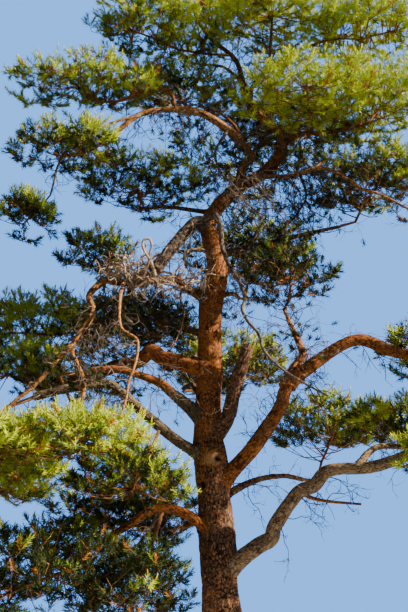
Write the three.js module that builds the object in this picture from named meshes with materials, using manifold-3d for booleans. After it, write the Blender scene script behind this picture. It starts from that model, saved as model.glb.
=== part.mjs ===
// An old, gnarled pine, about twelve metres tall, that stands in the ground.
// Millimetres. +Z is up, +X is to the right and +Y is away from the front.
// The origin is the middle of the flat cut under the trunk, at ground level.
import * as THREE from 'three';
import { mergeVertices } from 'three/addons/utils/BufferGeometryUtils.js';
import Module from 'manifold-3d';

const wasm = await Module();
wasm.setup();

// Driving dimensions
const gap = 0.4; // air between two pieces that meet
const trunkStep = 370; // length of one ring of the trunk
const boughStep = 320; // length of one ring of a bough
const trunkSides = 14;
const boughSides = 6;
const twigSides = 3;
const gnarl = 0.07; // how far a limb's radius wanders, as a share of it
const gnarlWave = 170; // length over which that wander turns once round
const taperCurve = 0.8; // under 1, a bough thins more near its root
const flareHeight = 260; // height over which the root flare fades
const flareSpread = 0.36; // widening at the ground, as a share of the radius
const flareLobes = 5;
const stemRadii = [28, 16];
const stemRoot = 20; // how deep a stem starts in its bough's tip, before it is cut clear
const stemRings = 3;
const stemInTip = 0.85; // a stem's radius at its bough's tip, as a share of the tip's
const twigRadii = [11, 9];
const sprayLength = 740;
const shortestSpray = 420;
const sprayReach = 300; // half width of a spray
const sprayPoints = 3; // long points round a spray's slim core
const pointHeight = 0.68; // where along a spray its long points end
const coreReach = 88; // radius of the core between the points
const coreHeight = 0.32; // where along a spray its core is widest
const endRoot = 60; // how deep a spray is sunk in the end of its twig
const sideRoot = 2; // how far a spray at a twig's side starts behind the twig's middle line
const rootRoom = 170; // round its root a spray may touch its own twig
const mostSprays = 8; // in one mass
const ballStep = 60; // distance between the balls that stand for a limb or twig in the tests
const ballMargin = 6; // least air between two balls
const longTwig = 420; // a longer twig bends and carries three sprays
const shortestTwig = 90;
const twigRoom = 0.75; // share of a spray's length that a twig leaves free at its end
const leafyTwigs = 16; // side twigs tried in a mass
const bareTwigs = 15;
const stemLift = 0.16; // upward bow of a mass's stem
const twigRise = 0.3; // how far twigs turn up
const goldenAngle = 2.39996;
const deepest = 1.12; // a spray may end this far out, in half sizes of its space

// The trunk: legs as length, bearing from +X towards +Y, and climb; then radii at lengths along it.
const trunkLegs = [
  [2000, 180, 86], [1200, 190, 86], [900, 170, 85], [850, 20, 88], [850, 0, 89], [600, 0, 81],
  [480, 180, 79], [260, 180, 83], [380, 15, 61], [450, 10, 46], [450, 8, 36], [470, 10, 52]];
const trunkRadii = [[0, 262], [400, 254], [1300, 243], [2000, 232], [3300, 214], [4200, 190], [4900, 160],
  [5600, 158], [6200, 165], [6700, 138], [7150, 112], [7900, 97], [8890, 84]];

// The boughs: what each grows from and how far along it, its radii at root and tip, and its legs.
const boughs = [
  { name: 'leader', on: 'trunk', at: 8840, radii: [74, 26],
    legs: [[350, 0, 88], [640, 180, 49], [390, 180, 72], [545, 180, 76], [580, 180, 47], [460, 180, 59]] },
  { name: 'top_right_bough', on: 'leader', at: 1250, radii: [42, 22],
    legs: [[560, 10, 57], [620, 0, 38], [520, 354, 22]] },
  { name: 'crown_right_bough', on: 'leader', at: 190, radii: [50, 26],
    legs: [[300, 349, 29], [500, 340, -7], [460, 349, 8]] },
  { name: 'crown_left_bough', on: 'trunk', at: 7960, radii: [62, 24],
    legs: [[300, 303, 78], [225, 335, 59], [430, 200, 48], [530, 193, 30], [420, 187, 5], [500, 186, -14],
      [520, 193, -46]] },
  { name: 'left_plate_bough', on: 'crown_left_bough', at: 1900, radii: [32, 20],
    legs: [[290, 180, 77], [245, 187, 12], [530, 189, -27], [240, 187, -13]] },
  { name: 'drooping_bough', on: 'crown_left_bough', at: 2420, radii: [26, 15],
    legs: [[620, 209, -34], [640, 190, -40], [330, 180, -60], [320, 180, -80]] },
  { name: 'upper_left_bough', on: 'trunk', at: 7330, radii: [40, 20],
    legs: [[437, 163, 17], [318, 165, 14], [304, 171, -1]] },
  { name: 'sawn_stub', on: 'trunk', at: 7060, radii: [84, 92],
    legs: [[176, 201, 17], [252, 207, -46], [327, 211, -54], [306, 212, -56], [219, 214, -55]] },
  { name: 'hanging_dead_bough', on: 'trunk', at: 7230, radii: [42, 11],
    legs: [[283, 287, -17], [272, 314, -69], [277, 291, -83], [310, 348, -72], [288, 343, -62],
      [271, 338, -73], [187, 232, -70], [190, 344, -68], [234, 352, -53], [234, 341, -75],
      [331, 349, -50], [339, 347, -37], [362, 349, -33]] },
  { name: 'right_middle_bough', on: 'trunk', at: 6600, radii: [58, 26],
    legs: [[770, 30, 25], [800, 8, 18], [520, 356, 12]] },
  { name: 'elbow_inner_bough', on: 'trunk', at: 5900, radii: [66, 46],
    legs: [[431, 188, 28], [200, 197, 30], [690, 197, -12], [332, 198, 3]] },
  { name: 'elbow_outer_bough', on: 'elbow_inner_bough', at: 1620, radii: [41, 12],
    legs: [
      [340, 210, -53], [285, 320, -74], [545, 205, -64], [258, 325, -70], [282, 325, -61], [308, 271, -77]] },
  { name: 'elbow_branch', on: 'elbow_outer_bough', at: 1150, radii: [30, 18],
    legs: [[183, 213, -45], [530, 195, -54], [490, 189, -44]] },
  { name: 'left_behind_bough', on: 'trunk', at: 5400, radii: [52, 24],
    legs: [[770, 140, 24], [730, 158, 20], [530, 165, -12]] },
  { name: 'left_thick_bough', on: 'trunk', at: 4920, radii: [98, 40],
    legs: [[389, 186, 12], [265, 189, 12], [180, 180, 33], [222, 176, -39], [279, 168, -8], [371, 165, -17],
      [520, 165, -14]] },
  { name: 'left_orange_bough', on: 'trunk', at: 4200, radii: [62, 28],
    legs: [[592, 198, 35], [235, 200, 35], [522, 195, 15], [430, 190, -5]] },
  { name: 'left_grey_bough', on: 'trunk', at: 3690, radii: [68, 28],
    legs: [
      [478, 205, 24], [588, 204, 34], [440, 207, 35], [211, 197, 22], [483, 192, -11], [400, 184, -17]] },
  { name: 'left_lowest_bough', on: 'trunk', at: 2740, radii: [48, 24],
    legs: [[376, 208, 30], [272, 203, 21], [284, 201, -3], [419, 197, -33], [250, 189, -30]] },
  { name: 'right_broken_bough', on: 'trunk', at: 3960, radii: [76, 62], jagged: 90,
    legs: [[352, 337, 44], [380, 323, 69], [289, 334, 72], [294, 328, 68]] },
  { name: 'right_rising_bough', on: 'trunk', at: 3310, radii: [76, 34],
    legs: [[361, 343, 42], [427, 337, 44], [566, 342, 54], [291, 335, 66], [563, 347, 38], [536, 354, 27],
      [469, 0, -19], [420, 0, -12]] },
  { name: 'right_spur', on: 'right_rising_bough', at: 1640, radii: [40, 22],
    legs: [[288, 20, 69], [214, 5, 55], [215, 135, 75], [258, 138, 66], [180, 122, 62]] },
  { name: 'right_lowest_bough', on: 'trunk', at: 2260, radii: [86, 36],
    legs: [[563, 345, 35], [219, 342, 28], [180, 328, 65], [469, 335, 50], [222, 346, 24], [210, 340, 46],
      [191, 345, 12], [401, 350, 1], [460, 352, 17], [240, 350, 12]] },
  { name: 'right_fork_bough', on: 'right_lowest_bough', at: 2290, radii: [44, 24],
    legs: [[240, 25, 52], [200, 10, 30], [330, 12, 4], [240, 8, 25]] },
  { name: 'back_low_bough', on: 'trunk', at: 3050, radii: [66, 30],
    legs: [[500, 62, 32], [600, 45, 24], [520, 38, 12], [330, 30, -4]] },
  { name: 'back_middle_bough', on: 'trunk', at: 4500, radii: [64, 30],
    legs: [[480, 112, 30], [540, 98, 24], [420, 110, 6]] },
  { name: 'back_high_bough', on: 'trunk', at: 5850, radii: [56, 28],
    legs: [[460, 75, 34], [520, 62, 26], [380, 70, 10]] },
];

// The masses of foliage: what each grows from and how far along it (null is the tip), the middle of
// its space, and the half sizes of that space. A bare one has no needles.
const masses = [
  { name: 'top_mass', on: 'leader', at: null,
    centre: [-300, 150, 11300], half: [1200, 1000, 650] },
  { name: 'top_left_mass', on: 'leader', at: 2050,
    centre: [-1150, 0, 10350], half: [1050, 950, 600] },
  { name: 'top_middle_mass', on: 'top_right_bough', at: 650,
    centre: [700, -250, 10400], half: [1100, 900, 650] },
  { name: 'top_right_mass', on: 'top_right_bough', at: null,
    centre: [2300, 150, 10500], half: [1050, 1000, 650] },
  { name: 'right_plate_mass', on: 'crown_right_bough', at: null,
    centre: [2300, -50, 9000], half: [1050, 950, 600] },
  { name: 'right_front_mass', on: 'crown_right_bough', at: 500,
    centre: [1100, -950, 8600], half: [1050, 800, 500] },
  { name: 'right_upper_mass', on: 'leader', at: 1000,
    centre: [1200, 900, 9150], half: [1150, 850, 550] },
  { name: 'left_plate_mass', on: 'left_plate_bough', at: null,
    centre: [-2150, -400, 9100], half: [1300, 650, 420] },
  { name: 'left_inner_mass', on: 'crown_left_bough', at: 1450,
    centre: [-700, 450, 9500], half: [1100, 800, 480] },
  { name: 'left_under_mass', on: 'crown_left_bough', at: null,
    centre: [-2200, -700, 7800], half: [850, 650, 450] },
  { name: 'drooping_mass', on: 'drooping_bough', at: null,
    centre: [-2800, -600, 6800], half: [430, 430, 400] },
  { name: 'upper_left_mass', on: 'upper_left_bough', at: null,
    centre: [-1350, 450, 7850], half: [1050, 800, 480] },
  { name: 'crown_back_mass', on: 'leader', at: 560,
    centre: [100, 1500, 8900], half: [1250, 950, 600] },
  { name: 'right_middle_mass', on: 'right_middle_bough', at: null,
    centre: [2250, 450, 7900], half: [1100, 950, 620] },
  { name: 'inner_back_mass', on: 'back_high_bough', at: null,
    centre: [450, 1800, 7300], half: [1200, 950, 700] },
  { name: 'left_behind_mass', on: 'left_behind_bough', at: null,
    centre: [-2800, 950, 5750], half: [1050, 900, 560] },
  { name: 'left_inner_back_mass', on: 'left_behind_bough', at: 800,
    centre: [-1400, 1600, 6000], half: [1000, 850, 600] },
  { name: 'elbow_mass', on: 'elbow_inner_bough', at: 1350,
    centre: [-1850, -150, 6450], half: [550, 500, 400] },
  { name: 'left_tip_mass', on: 'left_thick_bough', at: null,
    centre: [-2950, 400, 4900], half: [900, 850, 480] },
  { name: 'left_far_mass', on: 'left_grey_bough', at: null,
    centre: [-2850, -200, 3250], half: [850, 800, 560] },
  { name: 'left_outer_mass', on: 'elbow_branch', at: null,
    centre: [-2800, -1250, 3500], half: [850, 780, 450] },
  { name: 'left_front_mass', on: 'left_orange_bough', at: null,
    centre: [-1750, -1300, 3550], half: [950, 740, 450] },
  { name: 'left_middle_mass', on: 'left_grey_bough', at: 800,
    centre: [-1050, -1000, 3150], half: [850, 740, 460] },
  { name: 'left_low_mass', on: 'left_lowest_bough', at: null,
    centre: [-2250, -800, 2150], half: [1100, 950, 650] },
  { name: 'left_low_inner_mass', on: 'left_lowest_bough', at: 800,
    centre: [-1050, -550, 2000], half: [850, 850, 650] },
  { name: 'left_low_back_mass', on: 'trunk', at: 2950,
    centre: [-1500, 1050, 3050], half: [1150, 900, 600] },
  { name: 'right_tip_mass', on: 'right_rising_bough', at: null,
    centre: [2900, -450, 4950], half: [950, 1000, 560] },
  { name: 'right_spur_mass', on: 'right_spur', at: null,
    centre: [850, -150, 6150], half: [680, 680, 500] },
  { name: 'right_low_mass', on: 'right_lowest_bough', at: null,
    centre: [2700, -850, 3500], half: [850, 800, 480] },
  { name: 'right_fork_mass', on: 'right_fork_bough', at: null,
    centre: [2450, 350, 4100], half: [950, 780, 500] },
  { name: 'right_back_mass', on: 'back_low_bough', at: null,
    centre: [1600, 1500, 4350], half: [950, 850, 560] },
  { name: 'middle_back_mass', on: 'back_middle_bough', at: null,
    centre: [100, 2000, 5400], half: [1150, 900, 650] },
  { name: 'dead_tangle', on: 'elbow_inner_bough', at: 900,
    centre: [-1150, -450, 6350], half: [520, 420, 480], bare: true },
];

const barkMaterial = { color: '#8c5a3d', roughness: 0.9, metalness: 0 };
const deadMaterial = { color: '#9c9083', roughness: 0.95, metalness: 0 };
const needleMaterial = { color: '#5f7a32', roughness: 0.7, metalness: 0 };
const deadNames = ['sawn_stub', 'hanging_dead_bough', 'dead_tangle'];

// A repeatable number from 0 to 1 for a seed and a count.
function chance(seed, count) {
  let mix = (Math.imul(seed, 374761393) + Math.imul(count, 668265263)) | 0;
  mix = Math.imul(mix ^ (mix >>> 13), 1274126177);
  return ((mix ^ (mix >>> 16)) >>> 0) / 4294967296;
}

// The unit vector of a bearing and a climb, both in degrees.
function heading(bearing, climb) {
  const turn = THREE.MathUtils.degToRad(bearing);
  const rise = THREE.MathUtils.degToRad(climb);
  return new THREE.Vector3(Math.cos(turn) * Math.cos(rise), Math.sin(turn) * Math.cos(rise), Math.sin(rise));
}

// The smooth curve that follows the legs from a start.
function legsPath(start, legs) {
  const points = [start.clone()];
  for (const [length, bearing, climb] of legs) {
    points.push(points[points.length - 1].clone().addScaledVector(heading(bearing, climb), length));
  }
  return new THREE.CatmullRomCurve3(points, false, 'catmullrom', 0.5);
}

// A straight-line reading of a table of [place, value] rows.
function readTable(table, place) {
  let row = 1;
  while (row < table.length - 1 && table[row][0] < place) {
    row += 1;
  }
  const [from, low] = table[row - 1];
  const [to, high] = table[row];
  return THREE.MathUtils.lerp(low, high, THREE.MathUtils.clamp((place - from) / (to - from), 0, 1));
}

// A closed geometry with its shared corners merged, position only.
function closed(geometry) {
  geometry.deleteAttribute('normal');
  geometry.deleteAttribute('uv');
  return mergeVertices(geometry);
}

// A closed tube along a path. radiusAt gives the radius for a share of the path and an angle round it.
// The far end is pushed on along the path by endPush, and its rim by jag at each angle as well.
function tube(path, radiusAt, sides, rings, endPush = 0, jag = () => 0) {
  const geometry = closed(new THREE.CylinderGeometry(1, 1, 1, sides, rings));
  const frames = path.computeFrenetFrames(rings, false);
  const position = geometry.attributes.position;
  for (let i = 0; i < position.count; i += 1) {
    const share = position.getY(i) + 0.5;
    const ring = Math.round(share * rings);
    const across = Math.hypot(position.getX(i), position.getZ(i));
    const angle = across > 0.5 ? Math.atan2(position.getX(i), position.getZ(i)) : 0;
    const radius = across > 0.5 ? radiusAt(share, angle) : 0;
    const point = path.getPointAt(share)
      .addScaledVector(frames.binormals[ring], Math.sin(angle) * radius)
      .addScaledVector(frames.normals[ring], Math.cos(angle) * radius);
    if (ring === rings) {
      point.addScaledVector(frames.tangents[ring], endPush + (radius > 0 ? jag(angle) : 0));
    }
    position.setXYZ(i, point.x, point.y, point.z);
  }
  return geometry;
}

// How far out and how far along a spray a corner of its ring stands: long points and core in turn.
function ringCorner(index, length) {
  return index % 2 === 0 ? [sprayReach, pointHeight * length] : [coreReach, coreHeight * length];
}

// A spray of needles: a slim core with a tip, out of which long points stand.
function sprayDart(root, direction, length, roll, sunk) {
  const geometry = closed(new THREE.SphereGeometry(1, 2 * sprayPoints, 2));
  const turn = new THREE.Quaternion().setFromUnitVectors(new THREE.Vector3(0, 1, 0), direction);
  const position = geometry.attributes.position;
  const point = new THREE.Vector3();
  for (let i = 0; i < position.count; i += 1) {
    const height = position.getY(i);
    if (Math.abs(height) > 0.5) {
      point.set(0, height > 0 ? length : -sunk, 0);
    } else {
      const angle = Math.atan2(position.getX(i), position.getZ(i));
      const [out, up] = ringCorner(Math.round(angle * sprayPoints / Math.PI), length);
      point.set(Math.sin(angle + roll) * out, up, Math.cos(angle + roll) * out);
    }
    point.applyQuaternion(turn).add(root);
    position.setXYZ(i, point.x, point.y, point.z);
  }
  return geometry;
}

// A manifold solid from a closed geometry.
function solidOf(geometry) {
  return new wasm.Manifold(new wasm.Mesh({
    numProp: 3,
    vertProperties: new Float32Array(geometry.attributes.position.array),
    triVerts: new Uint32Array(geometry.index.array),
  }));
}

// The largest piece of a solid, with any sealed hollow filled.
function largestPiece(solid) {
  return solid.decompose().reduce((best, piece) => (piece.volume() > best.volume() ? piece : best));
}

// Whether the boxes of two solids meet.
function boxesMeet(one, other) {
  const a = one.boundingBox();
  const b = other.boundingBox();
  return [0, 1, 2].every((axis) => a.min[axis] < b.max[axis] && b.min[axis] < a.max[axis]);
}

// Balls along a path, each as wide as the path is there.
function ballsAlong(path, radiusAt) {
  const count = Math.ceil(path.getLength() / ballStep);
  return Array.from({ length: count + 1 }, (_, i) => ({
    middle: path.getPointAt(i / count),
    radius: radiusAt(i / count),
  }));
}

// Whether a ball is clear of all the others.
function ballClear(ball, others) {
  const reach = ball.radius + ballMargin;
  return others.every((other) => ball.middle.distanceTo(other.middle) > reach + other.radius);
}

// A limb: its path, its radius, its solid and the same solid grown by the gap.
const limbs = new Map();
function addLimb(name, path, radiusAt, sides, options = {}) {
  const length = path.getLength();
  const step = name === 'trunk' ? trunkStep : boughStep;
  const rings = Math.max(5, Math.round(length / step));
  const seed = limbs.size + 1;
  const wave = (share) => Math.sin(share * length / gnarlWave + seed);
  const wander = (share, angle) => 1 + gnarl * wave(share) * Math.cos(2 * angle + seed);
  const jag = (angle) => (options.jagged || 0) * chance(seed, Math.round(angle * 10));
  const shape = (grow) => {
    const grownRadius = (share, angle) => radiusAt(share, angle) * wander(share, angle) + grow;
    const geometry = tube(path, grownRadius, sides, rings, grow, jag);
    if (name === 'trunk') {
      const position = geometry.attributes.position;
      for (let i = 0; i < position.count; i += 1) {
        if (position.getZ(i) < step / 3) {
          position.setZ(i, 0);
        }
      }
    }
    return solidOf(geometry);
  };
  let solid = shape(0);
  for (const other of limbs.values()) {
    if (boxesMeet(solid, other.grown)) {
      solid = solid.subtract(other.grown);
    }
  }
  const limb = { name, path, length, radiusAt, solid: largestPiece(solid), grown: shape(gap) };
  limb.balls = ballsAlong(path, (share) => radiusAt(share, 0) * (1 + gnarl));
  limbs.set(name, limb);
}

// The trunk, with its root flare in lobes.
function addTrunk() {
  const path = legsPath(new THREE.Vector3(0, 0, 0), trunkLegs);
  const length = path.getLength();
  const radiusAt = (share, angle) => {
    const up = share * length;
    const lobe = 0.6 + 0.4 * Math.cos(flareLobes * angle);
    return readTable(trunkRadii, up) * (1 + flareSpread * Math.exp(-up / flareHeight) * lobe);
  };
  addLimb('trunk', path, radiusAt, trunkSides);
}

// A bough that tapers from its root, on the middle line of what carries it.
function addBough(bough) {
  const parent = limbs.get(bough.on);
  const path = legsPath(parent.path.getPointAt(Math.min(1, bough.at / parent.length)), bough.legs);
  const [root, tip] = bough.radii;
  const radiusAt = (share) => THREE.MathUtils.lerp(root, tip, Math.pow(share, taperCurve));
  addLimb(bough.name, path, radiusAt, boughSides, bough);
}

addTrunk();
boughs.forEach(addBough);

// How far from a point, along a direction, the surface of a mass's space lies.
function spaceReach(mass, point, direction) {
  const from = point.clone().sub(mass.middle).divide(mass.size);
  const along = direction.clone().divide(mass.size);
  const a = along.lengthSq();
  const b = from.dot(along);
  const c = from.lengthSq() - 1;
  const root = b * b - a * c;
  return root > 0 ? (Math.sqrt(root) - b) / a : 0;
}

// How far out in a mass's space a point lies: 1 is on its surface.
function spaceShare(mass, point) {
  return point.clone().sub(mass.middle).divide(mass.size).length();
}

// The stem of a mass: out of its bough, through the middle of its space, and on.
function layStem(mass, seed) {
  const parent = limbs.get(mass.on);
  const share = mass.at === null ? 1 : mass.at / parent.length;
  const tip = parent.path.getPointAt(share);
  const out = parent.path.getTangentAt(share);
  mass.seed = seed;
  mass.middle = new THREE.Vector3(...mass.centre);
  mass.size = new THREE.Vector3(...mass.half);
  const toMiddle = mass.middle.clone().sub(tip);
  const run = toMiddle.length();
  const points = [tip.clone()];
  if (mass.at === null) {
    points[0].addScaledVector(out, -stemRoot);
    points.push(tip.clone().addScaledVector(out, run * 0.25));
  }
  points.push(tip.clone().addScaledVector(toMiddle, 0.6).add(new THREE.Vector3(0, 0, -run * stemLift * 0.6)));
  points.push(mass.middle.clone());
  const onward = toMiddle.normalize().add(new THREE.Vector3(0, 0, stemLift)).normalize();
  const reach = Math.max(shortestTwig / 2, spaceReach(mass, mass.middle, onward) - sprayLength * twigRoom);
  points.push(mass.middle.clone().addScaledVector(onward, reach));
  mass.stem = new THREE.CatmullRomCurve3(points, false, 'catmullrom', 0.5);
  const root = Math.min(stemRadii[0], stemInTip * parent.radiusAt(share, 0));
  mass.stemRadius = (at) => THREE.MathUtils.lerp(root, Math.min(root, stemRadii[1]), at);
  mass.stemBalls = ballsAlong(mass.stem, mass.stemRadius);
  mass.balls = [...mass.stemBalls];
  mass.entry = 0;
  while (mass.entry < 0.8 && spaceShare(mass, mass.stem.getPointAt(mass.entry)) > 0.9) {
    mass.entry += 0.02;
  }
}

// Whether a point is on a mass's own side of the planes that part it from the other masses. Each plane
// lies between two middles, nearer to the mass that is smaller along the line between them.
function inOwnSpace(mass, point) {
  return masses.every((other) => {
    const across = other.middle.clone().sub(mass.middle);
    const apart = across.length();
    if (apart === 0) {
      return true;
    }
    across.divideScalar(apart);
    const own = 1 / across.clone().divide(mass.size).length();
    const theirs = 1 / across.clone().divide(other.size).length();
    return point.clone().sub(mass.middle).dot(across) < apart * own / (own + theirs) - ballMargin;
  });
}

// A side twig of a mass: it leaves the stem at a golden angle from the last one and turns up.
function twigPath(mass, index) {
  const tries = mass.bare ? bareTwigs : leafyTwigs;
  const share = THREE.MathUtils.lerp(mass.entry, 0.98, (index + 0.5) / tries);
  const root = mass.stem.getPointAt(share);
  const ahead = mass.stem.getTangentAt(share);
  const side = new THREE.Vector3(0, 0, 1).cross(ahead).normalize();
  const over = ahead.clone().cross(side);
  const turn = index * goldenAngle + chance(mass.seed, index) * 0.9;
  const outward = side.multiplyScalar(Math.cos(turn)).addScaledVector(over, Math.sin(turn) * 0.75);
  const start = outward.clone().addScaledVector(ahead, mass.bare ? 0.1 : 0.35).normalize();
  const room = spaceReach(mass, root, start);
  const length = Math.max(shortestTwig, mass.bare ? room * 0.95 : room - sprayLength * twigRoom);
  const bend = start.clone().add(new THREE.Vector3(0, 0, mass.bare ? -twigRise : twigRise)).normalize();
  const middle = root.clone().addScaledVector(start, length * 0.5);
  return new THREE.CatmullRomCurve3([root, middle, middle.clone().addScaledVector(bend, length * 0.5)],
    false, 'catmullrom', 0.5);
}

// The roots and directions of the sprays of a twig: one at its end and one at each side.
function spraySites(mass, path, index) {
  const sites = [];
  const shares = path.getLength() > longTwig ? [1, 0.6, 0.35] : [1, 0.5];
  shares.forEach((share, place) => {
    const ahead = path.getTangentAt(share);
    const side = new THREE.Vector3(0, 0, 1).cross(ahead).normalize();
    const key = index * 5 + place;
    const hand = (place + index) % 2 ? 1 : -1;
    const lean = place === 0 ? 0 : hand * (1 + 0.4 * chance(mass.seed + 50, key));
    const direction = ahead.multiplyScalar(Math.cos(lean)).addScaledVector(side, Math.sin(lean))
      .add(new THREE.Vector3(0, 0, twigRise)).normalize();
    sites.push({ root: path.getPointAt(share), direction, sunk: place === 0 ? endRoot : sideRoot, key });
  });
  return sites;
}

// The balls that a spray fills: one in its core, one at its tip and two along each long point.
function sprayBalls(site, length, roll) {
  const turn = new THREE.Quaternion().setFromUnitVectors(new THREE.Vector3(0, 1, 0), site.direction);
  const ball = (out, up, angle, radius) => {
    const middle = new THREE.Vector3(Math.sin(angle) * out, up, Math.cos(angle) * out);
    return { middle: middle.applyQuaternion(turn).add(site.root), radius };
  };
  const balls = [ball(0, length * 0.5, 0, coreReach * 1.2), ball(0, length * 0.9, 0, coreReach * 0.4)];
  for (let index = 0; index < 2 * sprayPoints; index += 2) {
    const [out, up] = ringCorner(index, length);
    const angle = roll + index * Math.PI / sprayPoints;
    balls.push(ball(out * 0.55, up * 0.9, angle, coreReach * 0.75));
    balls.push(ball(out, up, angle, coreReach * 0.15));
  }
  return balls;
}

// Adds a spray to a mass where it touches nothing but its twig and stays in the mass's space.
function addSpray(mass, site, others) {
  const room = spaceReach(mass, site.root, site.direction) * deepest;
  const length = Math.min(room, sprayLength * (0.85 + 0.3 * chance(mass.seed + 90, site.key)));
  const roll = chance(mass.seed + 130, site.key) * 3;
  const balls = sprayBalls(site, length, roll);
  const inside = balls.every((ball) => inOwnSpace(mass, ball.middle));
  const near = mass.balls.filter((ball) => ball.middle.distanceTo(site.root) > rootRoom);
  const free = balls.every((ball) => ballClear(ball, others) && ballClear(ball, near));
  if (length < shortestSpray || !inside || !free) {
    return;
  }
  mass.sprays += 1;
  mass.balls.push(...balls);
  mass.pieces.push(sprayDart(site.root, site.direction, length, roll, site.sunk));
}

// Adds a side twig with its sprays, where it touches nothing and carries a spray or is bare.
function addTwig(mass, index, others) {
  const path = twigPath(mass, index);
  const radiusAt = (share) => THREE.MathUtils.lerp(...twigRadii, share);
  const nearRoot = (ball) => ball.middle.distanceTo(path.points[0]) < rootRoom / 2;
  const balls = ballsAlong(path, radiusAt).filter((ball) => !nearRoot(ball));
  const free = balls.every((ball) => ballClear(ball, others) && ballClear(ball, mass.balls));
  if (!free || !balls.every((ball) => inOwnSpace(mass, ball.middle))) {
    return;
  }
  const before = mass.sprays;
  mass.balls.push(...balls);
  if (!mass.bare) {
    spraySites(mass, path, index).forEach((site) => addSpray(mass, site, others));
  }
  if (mass.bare || mass.sprays > before) {
    mass.pieces.push(tube(path, radiusAt, twigSides, path.getLength() > longTwig ? 2 : 1));
  } else {
    mass.balls.splice(mass.balls.length - balls.length);
  }
}

// Grows a mass: its stem with a spray at its end, then its side twigs from the far end inwards.
function growMass(mass) {
  const others = [...limbs.values()].flatMap((limb) => limb.balls);
  others.push(...masses.filter((other) => other !== mass).flatMap((other) => other.stemBalls));
  mass.sprays = 0;
  mass.pieces = [tube(mass.stem, mass.stemRadius, twigSides, stemRings)];
  if (!mass.bare) {
    const [root, direction] = [mass.stem.getPointAt(1), mass.stem.getTangentAt(1)];
    addSpray(mass, { root, direction, sunk: endRoot, key: 99 }, others);
  }
  const tries = mass.bare ? bareTwigs : leafyTwigs;
  for (let step = 1; step <= tries && mass.sprays < mostSprays; step += 1) {
    addTwig(mass, tries - step, others);
  }
  let solid = mass.pieces.map(solidOf).reduce((sum, piece) => sum.add(piece));
  for (const limb of limbs.values()) {
    if (boxesMeet(solid, limb.grown)) {
      solid = solid.subtract(limb.grown);
    }
  }
  mass.solid = largestPiece(solid);
}

masses.forEach(layStem);
masses.forEach(growMass);

// A named mesh for a solid.
function meshOf(name, solid, look) {
  const { vertProperties, triVerts } = solid.getMesh();
  const geometry = new THREE.BufferGeometry();
  geometry.setAttribute('position', new THREE.BufferAttribute(new Float32Array(vertProperties), 3));
  geometry.setIndex(new THREE.BufferAttribute(new Uint32Array(triVerts), 1));
  geometry.computeVertexNormals();
  const mesh = new THREE.Mesh(geometry, new THREE.MeshStandardMaterial(look));
  mesh.name = name;
  return mesh;
}

const tree = new THREE.Group();
for (const limb of limbs.values()) {
  tree.add(meshOf(limb.name, limb.solid, deadNames.includes(limb.name) ? deadMaterial : barkMaterial));
}
for (const mass of masses) {
  tree.add(meshOf(mass.name, mass.solid, deadNames.includes(mass.name) ? deadMaterial : needleMaterial));
}

export default tree;
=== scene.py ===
import math

import bpy
import numpy as np
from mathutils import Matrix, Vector


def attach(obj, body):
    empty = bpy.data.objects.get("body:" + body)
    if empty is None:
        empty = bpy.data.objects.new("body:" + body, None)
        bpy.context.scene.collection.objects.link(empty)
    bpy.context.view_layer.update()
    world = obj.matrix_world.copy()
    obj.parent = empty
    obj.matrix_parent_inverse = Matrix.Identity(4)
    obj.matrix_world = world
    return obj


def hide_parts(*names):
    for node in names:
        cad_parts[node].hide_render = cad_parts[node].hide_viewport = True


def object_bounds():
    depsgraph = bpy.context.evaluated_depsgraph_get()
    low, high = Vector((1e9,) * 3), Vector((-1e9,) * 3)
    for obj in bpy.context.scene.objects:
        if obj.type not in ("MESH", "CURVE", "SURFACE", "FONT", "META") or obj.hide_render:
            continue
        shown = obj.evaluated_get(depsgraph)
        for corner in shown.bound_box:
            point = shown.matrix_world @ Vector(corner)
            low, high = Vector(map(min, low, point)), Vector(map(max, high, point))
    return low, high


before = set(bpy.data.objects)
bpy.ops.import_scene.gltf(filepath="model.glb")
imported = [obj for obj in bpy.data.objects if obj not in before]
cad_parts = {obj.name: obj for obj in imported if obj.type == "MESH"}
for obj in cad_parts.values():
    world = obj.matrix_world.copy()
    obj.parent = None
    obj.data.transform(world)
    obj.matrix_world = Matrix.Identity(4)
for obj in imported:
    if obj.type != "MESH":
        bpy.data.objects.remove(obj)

cadLow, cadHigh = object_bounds()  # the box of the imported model
upward = np.array([0.0, 0.0, 1.0])
goldenAngle = 2.39996  # radians from one twig or needle round its stem to the next
fullTurn = 2 * math.pi
anyTurn = 6.28  # radians: how far a random turn goes, all but a full one


# A repeatable number from 0 to 1: two whole numbers mixed by multiplying and folding 32-bit words
def chance(seed, count):
    wholeWord = 0xFFFFFFFF
    mix = (seed * 374761393 + count * 668265263) & wholeWord
    mix = ((mix ^ (mix >> 13)) * 1274126177) & wholeWord
    return (mix ^ (mix >> 16)) / (wholeWord + 1)


def unit(vectors):  # each vector divided by its length
    return vectors / np.maximum(np.linalg.norm(vectors, axis=-1, keepdims=True), 1e-9)


def ease(low, high, value):  # 0 below low, 1 above high, a smooth step between
    share = np.clip((value - low) / (high - low), 0, 1)
    return share * share * (3 - 2 * share)


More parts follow.
